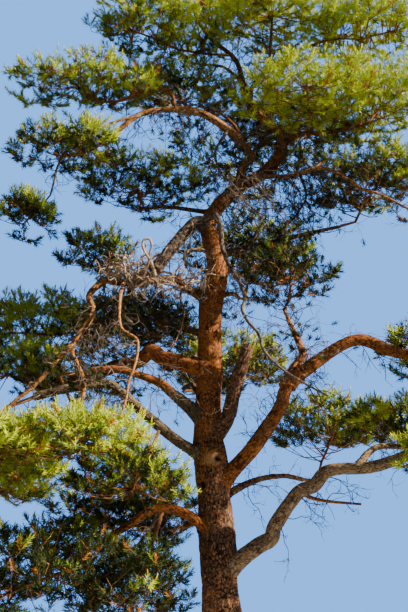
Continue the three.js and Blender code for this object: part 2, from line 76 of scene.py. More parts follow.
# One mesh from corner places and groups of faces, each group an array of rows with equal corner counts
def makePiece(name, corners, faceGroups, material, slot, replaced=(), smooth=True, tints=None):
    mesh = bpy.data.meshes.new(name)
    loops = np.concatenate([group.reshape(-1) for group in faceGroups]).astype(np.int32)
    sizes = np.concatenate([np.full(len(group), group.shape[1]) for group in faceGroups])
    starts = np.concatenate([[0], np.cumsum(sizes)[:-1]]).astype(np.int32)
    mesh.vertices.add(len(corners))
    mesh.vertices.foreach_set("co", np.asarray(corners, np.float32).reshape(-1))
    mesh.loops.add(len(loops))
    mesh.loops.foreach_set("vertex_index", loops)
    mesh.polygons.add(len(sizes))
    mesh.polygons.foreach_set("loop_start", starts)
    mesh.polygons.foreach_set("use_smooth", np.full(len(sizes), smooth))
    if tints is not None:
        layer = mesh.attributes.new("barkTint", "FLOAT_COLOR", "POINT")
        colours = np.concatenate([tints, np.ones((len(tints), 1))], axis=1)
        layer.data.foreach_set("color", colours.astype(np.float32).reshape(-1))
    mesh.update(calc_edges=True)
    mesh.validate()
    mesh.materials.append(material)
    piece = bpy.data.objects.new(name, mesh)
    bpy.context.scene.collection.objects.link(piece)
    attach(piece, "root")
    if replaced:
        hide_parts(*replaced)


# A unit vector square to each of many directions: crossed with z, or with x where they are steep
def squareTo(ahead, steep=0.9):
    helper = np.where(np.abs(ahead[:, 2:]) < steep, [[0.0, 0.0, 1.0]], [[1.0, 0.0, 0.0]])
    return unit(np.cross(ahead, helper))


# Many closed tubes at once. paths is (tubes, rings, 3) and radii (tubes, rings): a corner is the ring's
# middle plus its radius times cos a of one cross vector and sin a of the other
def tubeArrays(paths, radii, sides):
    tubes, rings = radii.shape
    ahead = unit(np.gradient(paths, axis=1))
    cross = squareTo(unit(paths[:, -1] - paths[:, 0]), steep=0.8)[:, None, :]
    one = unit(cross - (cross * ahead).sum(-1, keepdims=True) * ahead)
    two = np.cross(ahead, one)
    angle = np.arange(sides) * fullTurn / sides
    ring = (one[:, :, None, :] * np.cos(angle)[:, None] + two[:, :, None, :] * np.sin(angle)[:, None])
    corners = paths[:, :, None, :] + ring * radii[:, :, None, None]
    number = np.arange(tubes * rings * sides).reshape(tubes, rings, sides)
    after = np.roll(number, -1, axis=2)
    walls = np.stack([number[:, :-1], after[:, :-1], after[:, 1:], number[:, 1:]], axis=-1).reshape(-1, 4)
    ends = np.concatenate([number[:, -1, :], number[:, 0, ::-1]])
    return corners.reshape(-1, 3), [walls, ends]


# Joins several (corners, faceGroups) results into one
def joinArrays(results):
    corners, groups, offset = [], {}, 0
    for places, faceGroups in results:
        corners.append(places)
        for faces in faceGroups:
            groups.setdefault(faces.shape[1], []).append(faces + offset)
        offset += len(places)
    return np.concatenate(corners), [np.concatenate(alike) for alike in groups.values()]


# A curve through points: each leg a cubic whose end slopes are half the line between its neighbours
def smoothPath(points, perLeg=20):
    spots = np.asarray(points, float)
    spots = np.vstack([2 * spots[0] - spots[1], spots, 2 * spots[-1] - spots[-2]])
    share = np.linspace(0, 1, perLeg, endpoint=False)[:, None]
    legs = []
    for before, start, end, after in zip(spots[:-3], spots[1:-2], spots[2:-1], spots[3:]):
        leave, arrive = (end - before) / 2, (after - start) / 2
        legs.append((2 * start - 2 * end + leave + arrive) * share ** 3
                    + (3 * end - 3 * start - 2 * leave - arrive) * share ** 2 + leave * share + start)
    dense = np.vstack(legs + [spots[-2:-1]])
    lengths = np.concatenate([[0], np.cumsum(np.linalg.norm(np.diff(dense, axis=0), axis=1))])
    return {"points": dense, "lengths": lengths, "length": lengths[-1]}


def placeAt(path, share):  # the point at a share of the path's length
    along = np.asarray(share) * path["length"]
    columns = [np.interp(along, path["lengths"], column) for column in path["points"].T]
    return np.stack(columns, axis=-1)


def aheadAt(path, share):  # the path's direction there, from a short step each way
    share, step = np.asarray(share, float), 0.004
    return unit(placeAt(path, np.minimum(share + step, 1)) - placeAt(path, np.maximum(share - step, 0)))


def heading(bearing, climb):  # the unit vector of a bearing and a climb in degrees
    turn, rise = math.radians(bearing), math.radians(climb)
    return np.array([math.cos(turn) * math.cos(rise), math.sin(turn) * math.cos(rise), math.sin(rise)])


def legsPath(start, legs):  # the path along legs of length in millimetres, bearing and climb
    points = [np.asarray(start, float)]
    for length, bearing, climb in legs:
        points.append(points[-1] + heading(bearing, climb) * length / 1000)
    return smoothPath(points)


# The limbs. A leg is its length in millimetres, its bearing from +x and its climb in degrees, and radii are
# in millimetres. Names, starts and legs follow the part's source. So do the radii, but those of twelve boughs
# are up to 4 cm larger here
trunkLook = {
    "legs": [
        [2000, 180, 86], [1200, 190, 86], [900, 170, 85], [850, 20, 88], [850, 0, 89], [600, 0, 81],
        [480, 180, 79], [260, 180, 83], [380, 15, 61], [450, 10, 46], [450, 8, 36], [470, 10, 52]],
    "radii": [  # length along the trunk, and the radius there
        [0, 262], [400, 254], [1300, 243], [2000, 232], [3300, 214], [4200, 190], [4900, 160],
        [5600, 158], [6200, 165], [6700, 138], [7150, 112], [7900, 97], [8890, 84]],
    "flareHeight": 0.26, "flareSpread": 0.36, "flareLobes": 5,  # the foot's root lobes
    "rings": 640, "sides": 136,
}

boughs = [  # name, parent, length along it, radii at root and tip, tone of its bark, legs
    ["leader", "trunk", 8840, [74, 26], "orange",
     [[350, 0, 88], [640, 180, 49], [390, 180, 72], [545, 180, 76], [580, 180, 47], [460, 180, 59]]],
    ["top_right_bough", "leader", 1250, [42, 22], "orange", [[560, 10, 57], [620, 0, 38], [520, 354, 22]]],
    ["crown_right_bough", "leader", 190, [50, 26], "orange", [[300, 349, 29], [500, 340, -7], [460, 349, 8]]],
    ["crown_left_bough", "trunk", 7960, [78, 36], "warm",
     [[300, 303, 78], [225, 335, 59], [430, 200, 48], [530, 193, 30], [420, 187, 5], [500, 186, -14],
      [520, 193, -46]]],
    ["left_plate_bough", "crown_left_bough", 1900, [32, 20], "orange",
     [[290, 180, 77], [245, 187, 12], [530, 189, -27], [240, 187, -13]]],
    ["drooping_bough", "crown_left_bough", 2420, [26, 15], "pale",
     [[620, 209, -34], [640, 190, -40], [330, 180, -60], [320, 180, -80]]],
    ["upper_left_bough", "trunk", 7330, [40, 20], "brown",
     [[437, 163, 17], [318, 165, 14], [304, 171, -1]]],
    ["sawn_stub", "trunk", 7060, [84, 92], "stub",
     [[176, 201, 17], [252, 207, -46], [327, 211, -54], [306, 212, -56], [219, 214, -55]]],
    ["hanging_dead_bough", "trunk", 7230, [42, 11], "dead",
     [[283, 287, -17], [272, 314, -69], [277, 291, -83], [310, 348, -72], [288, 343, -62],
      [271, 338, -73], [187, 232, -70], [190, 344, -68], [234, 352, -53], [234, 341, -75],
      [331, 349, -50], [339, 347, -37], [362, 349, -33]]],
    ["right_middle_bough", "trunk", 6600, [58, 26], "brown", [[770, 30, 25], [800, 8, 18], [520, 356, 12]]],
    ["elbow_inner_bough", "trunk", 5900, [66, 46], "orange",
     [[431, 188, 28], [200, 197, 30], [690, 197, -12], [332, 198, 3]]],
    ["elbow_outer_bough", "elbow_inner_bough", 1620, [50, 26], "warm",
     [[340, 210, -53], [285, 320, -74], [545, 205, -64], [258, 325, -70], [282, 325, -61], [308, 271, -77]]],
    ["elbow_branch", "elbow_outer_bough", 1150, [38, 22], "warm",
     [[183, 213, -45], [530, 195, -54], [490, 189, -44]]],
    ["left_behind_bough", "trunk", 5400, [52, 24], "brown",
     [[770, 140, 24], [730, 158, 20], [530, 165, -12]]],
    ["left_thick_bough", "trunk", 4920, [114, 74], "orange",
     [[389, 186, 12], [265, 189, 12], [180, 180, 33], [222, 176, -39], [279, 168, -8], [371, 165, -17],
      [520, 165, -14]]],
    ["left_orange_bough", "trunk", 4200, [68, 46], "orange",
     [[592, 198, 35], [235, 200, 35], [522, 195, 15], [430, 190, -5]]],
    ["left_grey_bough", "trunk", 3690, [80, 54], "grey",
     [[478, 205, 24], [588, 204, 34], [440, 207, 35], [211, 197, 22], [483, 192, -11], [400, 184, -17]]],
    ["left_lowest_bough", "trunk", 2740, [76, 42], "orange",
     [[376, 208, 30], [272, 203, 21], [284, 201, -3], [419, 197, -33], [250, 189, -30]]],
    ["right_broken_bough", "trunk", 3960, [102, 84], "brown",
     [[352, 337, 44], [380, 323, 69], [289, 334, 72], [294, 328, 68]]],
    ["right_rising_bough", "trunk", 3310, [104, 72], "orange",
     [[361, 343, 42], [427, 337, 44], [566, 342, 54], [291, 335, 66], [563, 347, 38], [536, 354, 27],
      [469, 0, -19], [420, 0, -12]]],
    ["right_spur", "right_rising_bough", 1640, [80, 28], "orange",
     [[288, 20, 69], [214, 5, 55], [215, 135, 75], [258, 138, 66], [180, 122, 62]]],
    ["right_lowest_bough", "trunk", 2260, [106, 66], "pale",
     [[563, 345, 35], [219, 342, 28], [180, 328, 65], [469, 335, 50], [222, 346, 24], [210, 340, 46],
      [191, 345, 12], [401, 350, 1], [460, 352, 17], [240, 350, 12]]],
    ["right_fork_bough", "right_lowest_bough", 2290, [52, 30], "pale",
     [[240, 25, 52], [200, 10, 30], [330, 12, 4], [240, 8, 25]]],
    ["back_low_bough", "trunk", 3050, [66, 30], "brown",
     [[500, 62, 32], [600, 45, 24], [520, 38, 12], [330, 30, -4]]],
    ["back_middle_bough", "trunk", 4500, [64, 30], "brown", [[480, 112, 30], [540, 98, 24], [420, 110, 6]]],
    ["back_high_bough", "trunk", 5850, [56, 28], "orange", [[460, 75, 34], [520, 62, 26], [380, 70, 10]]],
]

fineLimbs = [  # thinner limbs that the solids leave out, in the same columns
    ["hook_limb", "trunk", 6510, [40, 20], "pale",
     [[220, 207, 37], [120, 191, 4], [140, 202, -16], [150, 223, -61], [164, 326, -77]]],
    ["mossy_limb", "trunk", 4200, [112, 52], "grey", [[592, 198, 35], [150, 200, 35]]],
    ["low_side_limb", "left_lowest_bough", 900, [24, 11], "pale",
     [[172, 116, -71], [267, 162, -52], [210, 180, -42]]],
    ["low_fork_limb", "right_lowest_bough", 1500, [30, 13], "orange",
     [[137, 26, -34], [223, 0, -13], [415, 0, -5]]],
    ["inner_plate_limb", "crown_left_bough", 700, [30, 14], "orange",
     [[417, 140, 68], [383, 169, 49], [263, 168, 25]]],
    ["top_left_limb", "leader", 1500, [30, 13], "orange", [[384, 198, 34], [394, 195, -3], [246, 180, 14]]],
    ["cross_limb", "trunk", 8070, [40, 15], "warm",
     [[312, 352, 15], [357, 347, -5], [319, 351, 13], [248, 348, -3], [356, 352, -35], [244, 347, -44],
      [255, 350, -24], [271, 350, -34], [295, 350, -38]]],
    ["cross_fork", "cross_limb", 1000, [24, 11], "warm",
     [[306, 7, 38], [253, 14, 0], [279, 9, -24], [188, 6, -17], [169, 343, 35], [232, 345, -4]]],
    ["cross_low_fork", "cross_limb", 820, [22, 9], "brown",
     [[342, 59, -56], [270, 154, -60], [279, 168, -49], [259, 175, -36]]],
    ["pale_hanging_limb", "crown_left_bough", 1020, [26, 9], "dead",
     [[403, 236, -54], [241, 219, -67], [344, 330, -77], [253, 353, -48], [302, 345, -59],
      [266, 346, -52], [224, 344, -37]]],
    ["pale_hanging_fork", "crown_left_bough", 620, [18, 7], "dead",
     [[317, 280, -53], [275, 289, -77], [345, 343, -66], [258, 354, -41]]],
    ["inner_right_limb", "leader", 820, [26, 11], "brown",
     [[272, 230, 42], [280, 295, 67], [332, 346, 51], [294, 339, 62]]],
    ["hanging_front_limb", "elbow_inner_bough", 1340, [30, 12], "warm",
     [[478, 267, -47], [470, 287, -73], [318, 335, -41], [343, 273, -68], [321, 241, -65], [248, 249, -75],
      [239, 214, -73]]],
    ["inner_drop_limb", "elbow_inner_bough", 1250, [40, 22], "brown",
     [[225, 118, -70], [339, 163, -37], [291, 164, -28], [286, 157, -64], [288, 111, -79]]],
    ["thin_drop_limb", "elbow_inner_bough", 450, [14, 7], "brown",
     [[376, 262, -47], [207, 319, -69], [267, 234, -77], [290, 191, -69], [111, 166, -43]]],
]


woodLook = {  # how a limb's wood departs from a plain taper, where heights are shares of its radius
    "taper": 0.8,  # under 1, a bough thins faster near its root
    "wander": 0.07, "wanderLong": 0.17,  # a slow sway, and the metres of it to a radian
    "lumps": [(0.10, 3, 0.35, 11), (0.07, 6, 0.11, 12)],  # height, count round the limb, metres long, seed
    "collar": 0.42, "collarFrom": 0.85, "collarFade": 0.9,  # the swelling where a bough leaves its parent
    "knots": 0.55,  # knots on a metre of limb
    "knotHigh": (0.12, 0.16), "knotWide": (0.35, 0.4),  # the least, and what the largest has more
    "roundEnd": 0.25,  # how far the middle of a limb's end stands out
    "levelBelow": 0.3,  # metres above the ground over which the trunk's rings turn level
    "sideWide": 9, "fewestSides": 14, "mostSides": 64,  # the mesh: millimetres a side at the root
    "ringTall": 0.017,  # and metres between its rings
}
barkLook = {
    "plates": (0.036, 0.066), "plateDeep": 0.016,  # the old plates low on the trunk: wide and tall, in metres
    "flakes": (0.034, 0.07), "flakeDeep": 0.0055,  # the thin flakes of the boughs
    "chips": (2.6, 3.1),  # small chips to a plate or flake, round and along
    "thickLimb": 0.12,  # limbs with a larger mean radius carry plates
    "oldBelow": 2.6, "flakyAbove": 5.2,  # heights between which the trunk's bark changes
    "deepest": 0.14,  # no crack is deeper than this share of the radius
    "deadDepth": 0.25,  # cracks of dead wood, as a share of those in bark
    "uneven": 0.45, "chipDeep": 0.28,  # steps from plate to plate, and cracks between chips, as shares
    "shift": (7, 0.12, 0.9), "slide": (5, 0.2, 1.1),  # outlines wander: waves round, metres along, amount
    "gape": (9, 0.09), "crackWide": (0.03, 0.5), "chipEdge": 0.2,  # where cracks gape, and their edges' width
    "topTone": 0.88,  # tones above it are bare wood
}
toneAges = {  # 0 is old plates, 1 thin flakes
    "orange": 1.0, "warm": 1.0, "brown": 0.62, "pale": 0.8, "grey": 0.3, "stub": 0.25, "dead": 0.5,
}

burlLook = {  # metres along the trunk, radians round it from its front, and sizes in metres
    "along": 3.66, "angle": 0.42, "wide": 0.17, "high": 0.06, "hollowWide": 0.038, "deep": 0.09,
    "bareShift": 0.07, "bareWide": 0.13, "bareTall": 0.085,  # the bare patch lies beside the hollow
}

cutEnds = {  # limbs without a round end: height of the splinters, and how far the middle stands out
    "right_broken_bough": (0.09, -0.03),
    "sawn_stub": (0, 0.004),
}


# Smooth noise that meets itself round the limb: a lattice of random numbers, eased between its corners
def ringNoise(around, along, columns, rows, seed):
    columns = max(2, int(columns))
    table = np.random.default_rng(seed).random((int(rows) + 3, columns))
    across, up = around * columns, np.clip(along, 0, 1) * rows
    left, low = np.floor(across).astype(int), np.floor(up).astype(int)
    easeAcross, easeUp = ease(0, 1, across - left), ease(0, 1, up - low)
    left, right = left % columns, (left + 1) % columns
    return ((table[low, left] * (1 - easeAcross) + table[low, right] * easeAcross) * (1 - easeUp)
            + (table[low + 1, left] * (1 - easeAcross) + table[low + 1, right] * easeAcross) * easeUp)


# Plates of bark: each grid point takes the nearest and second nearest of points strewn one to a cell.
# Their difference is near 0 in a crack. It also returns a random number for each plate
def barkPlates(around, along, columns, rows, seed):
    columns = max(3, int(columns))
    strewn = np.random.default_rng(seed).random((int(rows) + 4, columns, 3))
    across, up = around * columns, np.clip(along, 0, 1) * rows + 1
    left, low = np.floor(across).astype(int), np.floor(up).astype(int)
    nearest = np.full(across.shape, 9.0)
    second = np.full(across.shape, 9.0)
    tone = np.zeros(across.shape)
    for stepAcross in (-1, 0, 1):
        for stepUp in (-1, 0, 1):
            cell = strewn[low + stepUp, (left + stepAcross) % columns]
            away = np.hypot(left + stepAcross + cell[..., 0] - across, low + stepUp + cell[..., 1] - up)
            closer = away < nearest
            second = np.where(closer, nearest, np.minimum(second, away))
            tone = np.where(closer, cell[..., 2], tone)
            nearest = np.where(closer, away, nearest)
    return second - nearest, tone


# Cross vectors along a path: the first is turned only as far as the path bends
def crossVectors(ahead):
    first = np.eye(3)[np.argmin(np.abs(ahead[0]))]
    one = [unit(np.cross(ahead[0], unit(np.cross(ahead[0], first))))]
    for direction in ahead[1:]:
        one.append(unit(one[-1] - direction * (one[-1] @ direction)))
    one = np.array(one)
    return one, np.cross(ahead, one)


def roundFrom(angle, middle, base):  # the way round the limb from a bearing, in metres
    return ((angle - middle + math.pi) % fullTurn - math.pi) * base


# Knots: seeded places where the radius swells in a bell curve of the distance from their middles
def knotRelief(along, angle, base, length, rng):
    knots = int(length * woodLook["knots"])
    (lowKnot, highKnot), (slimKnot, wideKnot) = woodLook["knotHigh"], woodLook["knotWide"]
    relief = np.zeros(base.shape)
    for middle, bearing, size in zip(rng.random(knots) * length, rng.random(knots) * anyTurn,
                                     rng.random(knots)):
        across = roundFrom(angle, bearing, base)
        wide = base.mean() * (slimKnot + wideKnot * size)
        bell = np.exp(-(across ** 2 + (along - middle) ** 2) / wide ** 2)
        relief += base * (lowKnot + highKnot * size) * bell
    return relief


# A burl: a broad swelling and a rotted hollow, both bell curves round its middle, and an oval patch of bare
# wood beside the hollow. It returns the change of the radius, and how far each point is hollow and bare
def burlRelief(burl, along, angle, base):
    across = roundFrom(angle, burl["angle"], base)
    up = along - burl["along"]
    swell = np.exp(-(np.hypot(across, up * 0.8) / burl["wide"]) ** 2)
    hollow = np.exp(-(np.hypot(across * 0.85, up) / burl["hollowWide"]) ** 2)
    bare = np.exp(-((across + burl["bareShift"]) / burl["bareWide"]) ** 2 - (up / burl["bareTall"]) ** 2)
    return burl["high"] * (swell + 0.2 * bare) - burl["deep"] * hollow, hollow, bare


# The wood under the bark: the taper, times a slow sway round and along it, lumps, a collar that fades away
# from the parent's surface, and knots
def woodRadius(along, angle, base, length, seed, collar, rng):
    sway = np.sin(along / woodLook["wanderLong"] + seed) * np.cos(2 * angle + seed)
    radius = base * (1 + woodLook["wander"] * sway)
    for high, columns, long, lumpSeed in woodLook["lumps"]:
        lumps = ringNoise(angle / fullTurn, along / length, columns, max(2, length / long), seed + lumpSeed)
        radius *= 1 + high * (lumps - 0.5)
    if collar:
        out = np.maximum(0, along - collar * woodLook["collarFrom"])
        radius *= 1 + woodLook["collar"] * np.exp(-out / (woodLook["collarFade"] * base[0, 0] + 0.01))
    return radius + knotRelief(along, angle, base, length, rng)


# The bark on it: plates or flakes whose outlines wander, with cracks that gape and close, and small chips on
# them. It returns the change of the radius, the tints (how high, which tone, what age) and the chips' edges
def barkRelief(around, up, base, length, seed, age, depth):
    wide, tall = barkLook["plates" if base.mean() > barkLook["thickLimb"] else "flakes"]
    columns = max(4, round(fullTurn * base.mean() / wide))
    rows = max(4, length / tall)
    waves, long, shiftMost = barkLook["shift"]
    shift = ringNoise(around, up, waves, length / long + 2, seed + 3) - 0.5
    waves, long, slideMost = barkLook["slide"]
    slide = ringNoise(around, up, waves, length / long + 2, seed + 4) - 0.5
    gap, plateTone = barkPlates((around + shift * shiftMost / columns) % 1, up + slide * slideMost / rows,
                                columns, rows, seed + 5)
    chipsAround, chipsAlong = barkLook["chips"]
    chips, chipTone = barkPlates((around + slide * 0.5 / columns) % 1, up, columns * chipsAround,
                                 rows * chipsAlong, seed + 6)
    waves, long = barkLook["gape"]
    gape = ringNoise(around, up, waves, length / long + 2, seed + 7)
    narrow, wider = barkLook["crackWide"]
    plate = ease(0.0, 1.0, gap / (narrow + wider * gape ** 1.3) + 0.05)
    chip = ease(0.0, barkLook["chipEdge"], chips)
    deep = barkLook["plateDeep"] * (1 - age) + barkLook["flakeDeep"] * age
    deep = np.minimum(deep, base * barkLook["deepest"]) * depth
    relief = deep * ((plate - 1) + barkLook["uneven"] * (plateTone - 0.5) * plate
                     + barkLook["chipDeep"] * (chip - 1))
    tone = np.minimum(0.5 * plateTone + 0.5 * chipTone, barkLook["topTone"])
    return relief, np.stack([plate * (0.4 + 0.6 * chip), tone, age], axis=-1), chips


limbs = {}  # each finished limb's path and radius, for what grows from it


# A limb's surface: middle line plus radius times (cos a, sin a), where the radius is that of its wood and
# the relief of its bark
def makeLimb(name, path, radiusAt, seed, tone, rings, sides, replaced, collar=0.0, age=None, burl=None):
    length = path["length"]
    share = np.linspace(0, 1, rings)
    middle, ahead = placeAt(path, share), aheadAt(path, share)
    one, two = crossVectors(ahead)
    along, angle = np.meshgrid(share * length, np.arange(sides) * fullTurn / sides, indexing="ij")
    base = radiusAt(along, angle)
    rng = np.random.default_rng(seed + 31)
    if age is None:
        age = np.full(base.shape, toneAges[tone])
    depth = barkLook["deadDepth"] if tone == "dead" else 1
    radius = woodRadius(along, angle, base, length, seed, collar, rng)
    relief, tints, chips = barkRelief(angle / fullTurn, along / length, base, length, seed, age, depth)
    radius += relief
    if burl:  # its hollow is painted dark as shade, and its bare wood shows between the last flakes
        relief, hollow, bare = burlRelief(burl, along, angle, base)
        radius += relief
        tints[..., 0] = (tints[..., 0] + (1 - tints[..., 0]) * bare) * (1 - hollow)
        tints[..., 1] += (1 - tints[..., 1]) * ease(0.12, 0.42, bare * (0.45 + 1.6 * chips.clip(0, 0.4)))
    spread = one[:, None, :] * np.cos(angle)[..., None] + two[:, None, :] * np.sin(angle)[..., None]
    corners = middle[:, None, :] + radius[..., None] * spread
    if middle[0, 2] == 0:  # the lowest rings lie level, so the cut at the ground is flat
        level = ease(0, woodLook["levelBelow"], along)
        corners[..., 2] = middle[:, None, 2] + (corners[..., 2] - middle[:, None, 2]) * level
        corners[0, :, 2] = 0
    splinters, standOut = cutEnds.get(name, (0, woodLook["roundEnd"] * base[-1].mean()))
    if splinters:
        spikes = np.repeat(rng.random(math.ceil(sides / 3)), 3)[:sides] * splinters
        corners[-1] += ahead[-1] * spikes[:, None]
    number = np.arange(rings * sides).reshape(rings, sides)
    after = np.roll(number, -1, axis=1)
    walls = np.stack([number[:-1], after[:-1], after[1:], number[1:]], axis=-1).reshape(-1, 4)
    footPole, tipPole = rings * sides, rings * sides + 1
    tipFan = np.stack([number[-1], after[-1], np.full(sides, tipPole)], axis=-1)
    footFan = np.stack([after[0], number[0], np.full(sides, footPole)], axis=-1)
    poles = np.array([middle[0], middle[-1] + ahead[-1] * standOut])
    corners = np.concatenate([corners.reshape(-1, 3), poles])
    tints = np.concatenate([tints.reshape(-1, 3), [[0, 0.5, 1], [0.3, 0.5, 1]]])
    limbs[name] = {"path": path, "radiusAt": radiusAt}
    words = name.split("_")
    pieceName = words[0] + "".join(word.capitalize() for word in words[1:]) + "Bark"
    makePiece(pieceName, corners, [walls, tipFan, footFan], barkMaterials[tone],
              "dead_wood" if tone in ("dead", "stub") else "bark", replaced, tints=tints)


def addSockets(group, sockets):  # rows of name, in or out, kind and default
    for name, way, kind, default in sockets:
        socket = group.interface.new_socket(name=name, in_out=way, socket_type=kind)
        if default is not None:
            socket.default_value = default


def addNode(tree, kind, place=(0, 0), **settings):
    node = tree.nodes.new(kind)
    node.location = place
    for key, value in settings.items():
        setattr(node, key, value)
    return node


def feed(tree, socket, value):  # a link from another socket, or a plain value
    if isinstance(value, bpy.types.NodeSocket):
        tree.links.new(value, socket)
    else:
        socket.default_value = value


def mixColours(tree, first, second, amount, blend="MIX"):  # sockets 6 and 7 are the mix node's two colours
    node = addNode(tree, "ShaderNodeMix", data_type="RGBA", blend_type=blend)
    for socket, value in ((0, amount), (6, first), (7, second)):
        feed(tree, node.inputs[socket], value)
    return node.outputs[2]


# A number carried from one range to another
def remap(tree, value, fromLow, fromHigh, toLow=0.0, toHigh=1.0):
    node = addNode(tree, "ShaderNodeMapRange")
    tree.links.new(value, node.inputs["Value"])
    for key, number in (("From Min", fromLow), ("From Max", fromHigh), ("To Min", toLow), ("To Max", toHigh)):
        node.inputs[key].default_value = number
    return node.outputs["Result"]


def combine(tree, how, *values):  # two or more numbers added, multiplied or compared in turn
    result = values[0]
    for value in values[1:]:
        node = addNode(tree, "ShaderNodeMath", operation=how)
        feed(tree, node.inputs[0], result)
        feed(tree, node.inputs[1], value)
        result = node.outputs[0]
    return result


def noiseOf(tree, vector, scale, detail, rough=0.6):
    node = addNode(tree, "ShaderNodeTexNoise")
    tree.links.new(vector, node.inputs["Vector"])
    node.inputs["Scale"].default_value = scale
    node.inputs["Detail"].default_value = detail
    node.inputs["Roughness"].default_value = rough
    return node.outputs["Fac"]


# The bark's finish. A noise is its bumps to a metre, detail and roughness. A mask is the two values between
# which it rises, and where it doesn't rise from 0 to 1, what it rises from and to
skinLook = {
    "patches": (3.2, 4.0), "grain": (75.0, 6.0, 0.75), "speckle": (28.0, 4.0, 0.7),
    "flakyBy": {"tone": 1.1, "patches": 0.8, "speckle": 0.9, "age": 0.5},  # what turns a plate flaky
    "flaky": (1.65, 2.45),  # the mask of their sum and the Flake Amount
    "paleSpeckle": (0.47, 0.6), "paleTone": (0.3, 0.7, 0.1, 0.9),  # pale scales, where both masks are high
    "bareTone": (0.9, 0.98),  # only the burl's bare wood reaches this tone
    "grainColour": (0.1, 0.06, 0.04, 1), "grainMask": (0.6, 0.38, 0.0, 0.75),  # dark grain in its low parts
    "underFlakes": (0.3, 0.2, 0.16, 1), "underAmount": 0.7,  # cracks of thin bark show the skin, darker
    "crackEdge": (0.18, 0.75),  # from a crack's colour to the plate's
    "roughness": (0.3, 0.7, 0.95, 0.72),
    "grainHigh": 0.5, "speckleHigh": 0.9,  # the fine relief's two parts
    "bumpHigh": 0.004, "bumpStrength": 0.9, "shine": 0.25,
}


# Weathered bark: crack colour in the gaps, plates and flakes on top, pale scales and fine grain over both
def buildBarkGroup():
    group = bpy.data.node_groups.new("barkSkin", "ShaderNodeTree")
    addSockets(group, [
        ("Tint", "INPUT", "NodeSocketColor", (1, 0.5, 0.5, 1)),
        ("Crack Colour", "INPUT", "NodeSocketColor", (0.02, 0.012, 0.01, 1)),
        ("Plate Colour", "INPUT", "NodeSocketColor", (0.15, 0.1, 0.08, 1)),
        ("Old Colour", "INPUT", "NodeSocketColor", (0.1, 0.07, 0.055, 1)),
        ("Flake Colour", "INPUT", "NodeSocketColor", (0.5, 0.2, 0.09, 1)),
        ("Pale Colour", "INPUT", "NodeSocketColor", (0.6, 0.4, 0.28, 1)),
        ("Old Pale Colour", "INPUT", "NodeSocketColor", (0.6, 0.36, 0.2, 1)),
        ("Flake Amount", "INPUT", "NodeSocketFloat", 0.5),
        ("Color", "OUTPUT", "NodeSocketColor", None),
        ("Roughness", "OUTPUT", "NodeSocketFloat", None),
        ("Height", "OUTPUT", "NodeSocketFloat", None),
    ])
    given = addNode(group, "NodeGroupInput", (-1200, 0)).outputs
    outside = addNode(group, "NodeGroupOutput", (900, 0))
    place = addNode(group, "ShaderNodeTexCoord").outputs["Object"]
    tints = addNode(group, "ShaderNodeSeparateColor")
    group.links.new(given["Tint"], tints.inputs[0])
    plate = tints.outputs[0]
    field = {"tone": tints.outputs[1], "age": tints.outputs[2]}
    for noise in ("patches", "grain", "speckle"):
        field[noise] = noiseOf(group, place, *skinLook[noise])
    shares = [combine(group, "MULTIPLY", field[key], share) for key, share in skinLook["flakyBy"].items()]
    flaky = combine(group, "ADD", *shares, given["Flake Amount"])
    plates = mixColours(group, given["Old Colour"], given["Plate Colour"], field["age"])
    skin = mixColours(group, plates, given["Flake Colour"], remap(group, flaky, *skinLook["flaky"]))
    pale = combine(group, "MULTIPLY", remap(group, field["speckle"], *skinLook["paleSpeckle"]),
                   remap(group, field["tone"], *skinLook["paleTone"]))
    pale = combine(group, "MAXIMUM", pale, remap(group, field["tone"], *skinLook["bareTone"]))
    paleHere = mixColours(group, given["Old Pale Colour"], given["Pale Colour"], field["age"])
    skin = mixColours(group, skin, paleHere, pale)
    grainHere = remap(group, field["grain"], *skinLook["grainMask"])
    skin = mixColours(group, skin, skinLook["grainColour"], grainHere)
    shaded = mixColours(group, skin, skinLook["underFlakes"], 1.0, "MULTIPLY")
    thin = combine(group, "MULTIPLY", field["age"], skinLook["underAmount"])
    crack = mixColours(group, given["Crack Colour"], shaded, thin)
    colour = mixColours(group, crack, skin, remap(group, plate, *skinLook["crackEdge"]))
    group.links.new(colour, outside.inputs["Color"])
    roughness = remap(group, field["speckle"], *skinLook["roughness"])
    group.links.new(roughness, outside.inputs["Roughness"])
    height = combine(group, "ADD", combine(group, "MULTIPLY", field["grain"], skinLook["grainHigh"]),
                     combine(group, "MULTIPLY", field["speckle"], skinLook["speckleHigh"]))
    group.links.new(height, outside.inputs["Height"])
    return group


barkGroup = buildBarkGroup()


def barkMaterial(name, crack, plate, old, flake, pale, amount):
    material = bpy.data.materials.new(name)
    material.use_nodes = True
    tree = material.node_tree
    shader = tree.nodes["Principled BSDF"]
    skin = addNode(tree, "ShaderNodeGroup", (-500, 0))
    skin.node_tree = barkGroup
    tint = addNode(tree, "ShaderNodeAttribute", (-750, 0), attribute_name="barkTint")
    tree.links.new(tint.outputs["Color"], skin.inputs["Tint"])
    for socket, colour in (("Crack Colour", crack), ("Plate Colour", plate), ("Old Colour", old),
                           ("Flake Colour", flake), ("Pale Colour", pale)):
        skin.inputs[socket].default_value = (*colour, 1)
    skin.inputs["Flake Amount"].default_value = amount
    bump = addNode(tree, "ShaderNodeBump", (-250, -200))
    bump.inputs["Distance"].default_value = skinLook["bumpHigh"]
    bump.inputs["Strength"].default_value = skinLook["bumpStrength"]
    tree.links.new(skin.outputs["Color"], shader.inputs["Base Color"])
    tree.links.new(skin.outputs["Roughness"], shader.inputs["Roughness"])
    tree.links.new(skin.outputs["Height"], bump.inputs["Height"])
    tree.links.new(bump.outputs["Normal"], shader.inputs["Normal"])
    shader.inputs["Specular IOR Level"].default_value = skinLook["shine"]
    return material


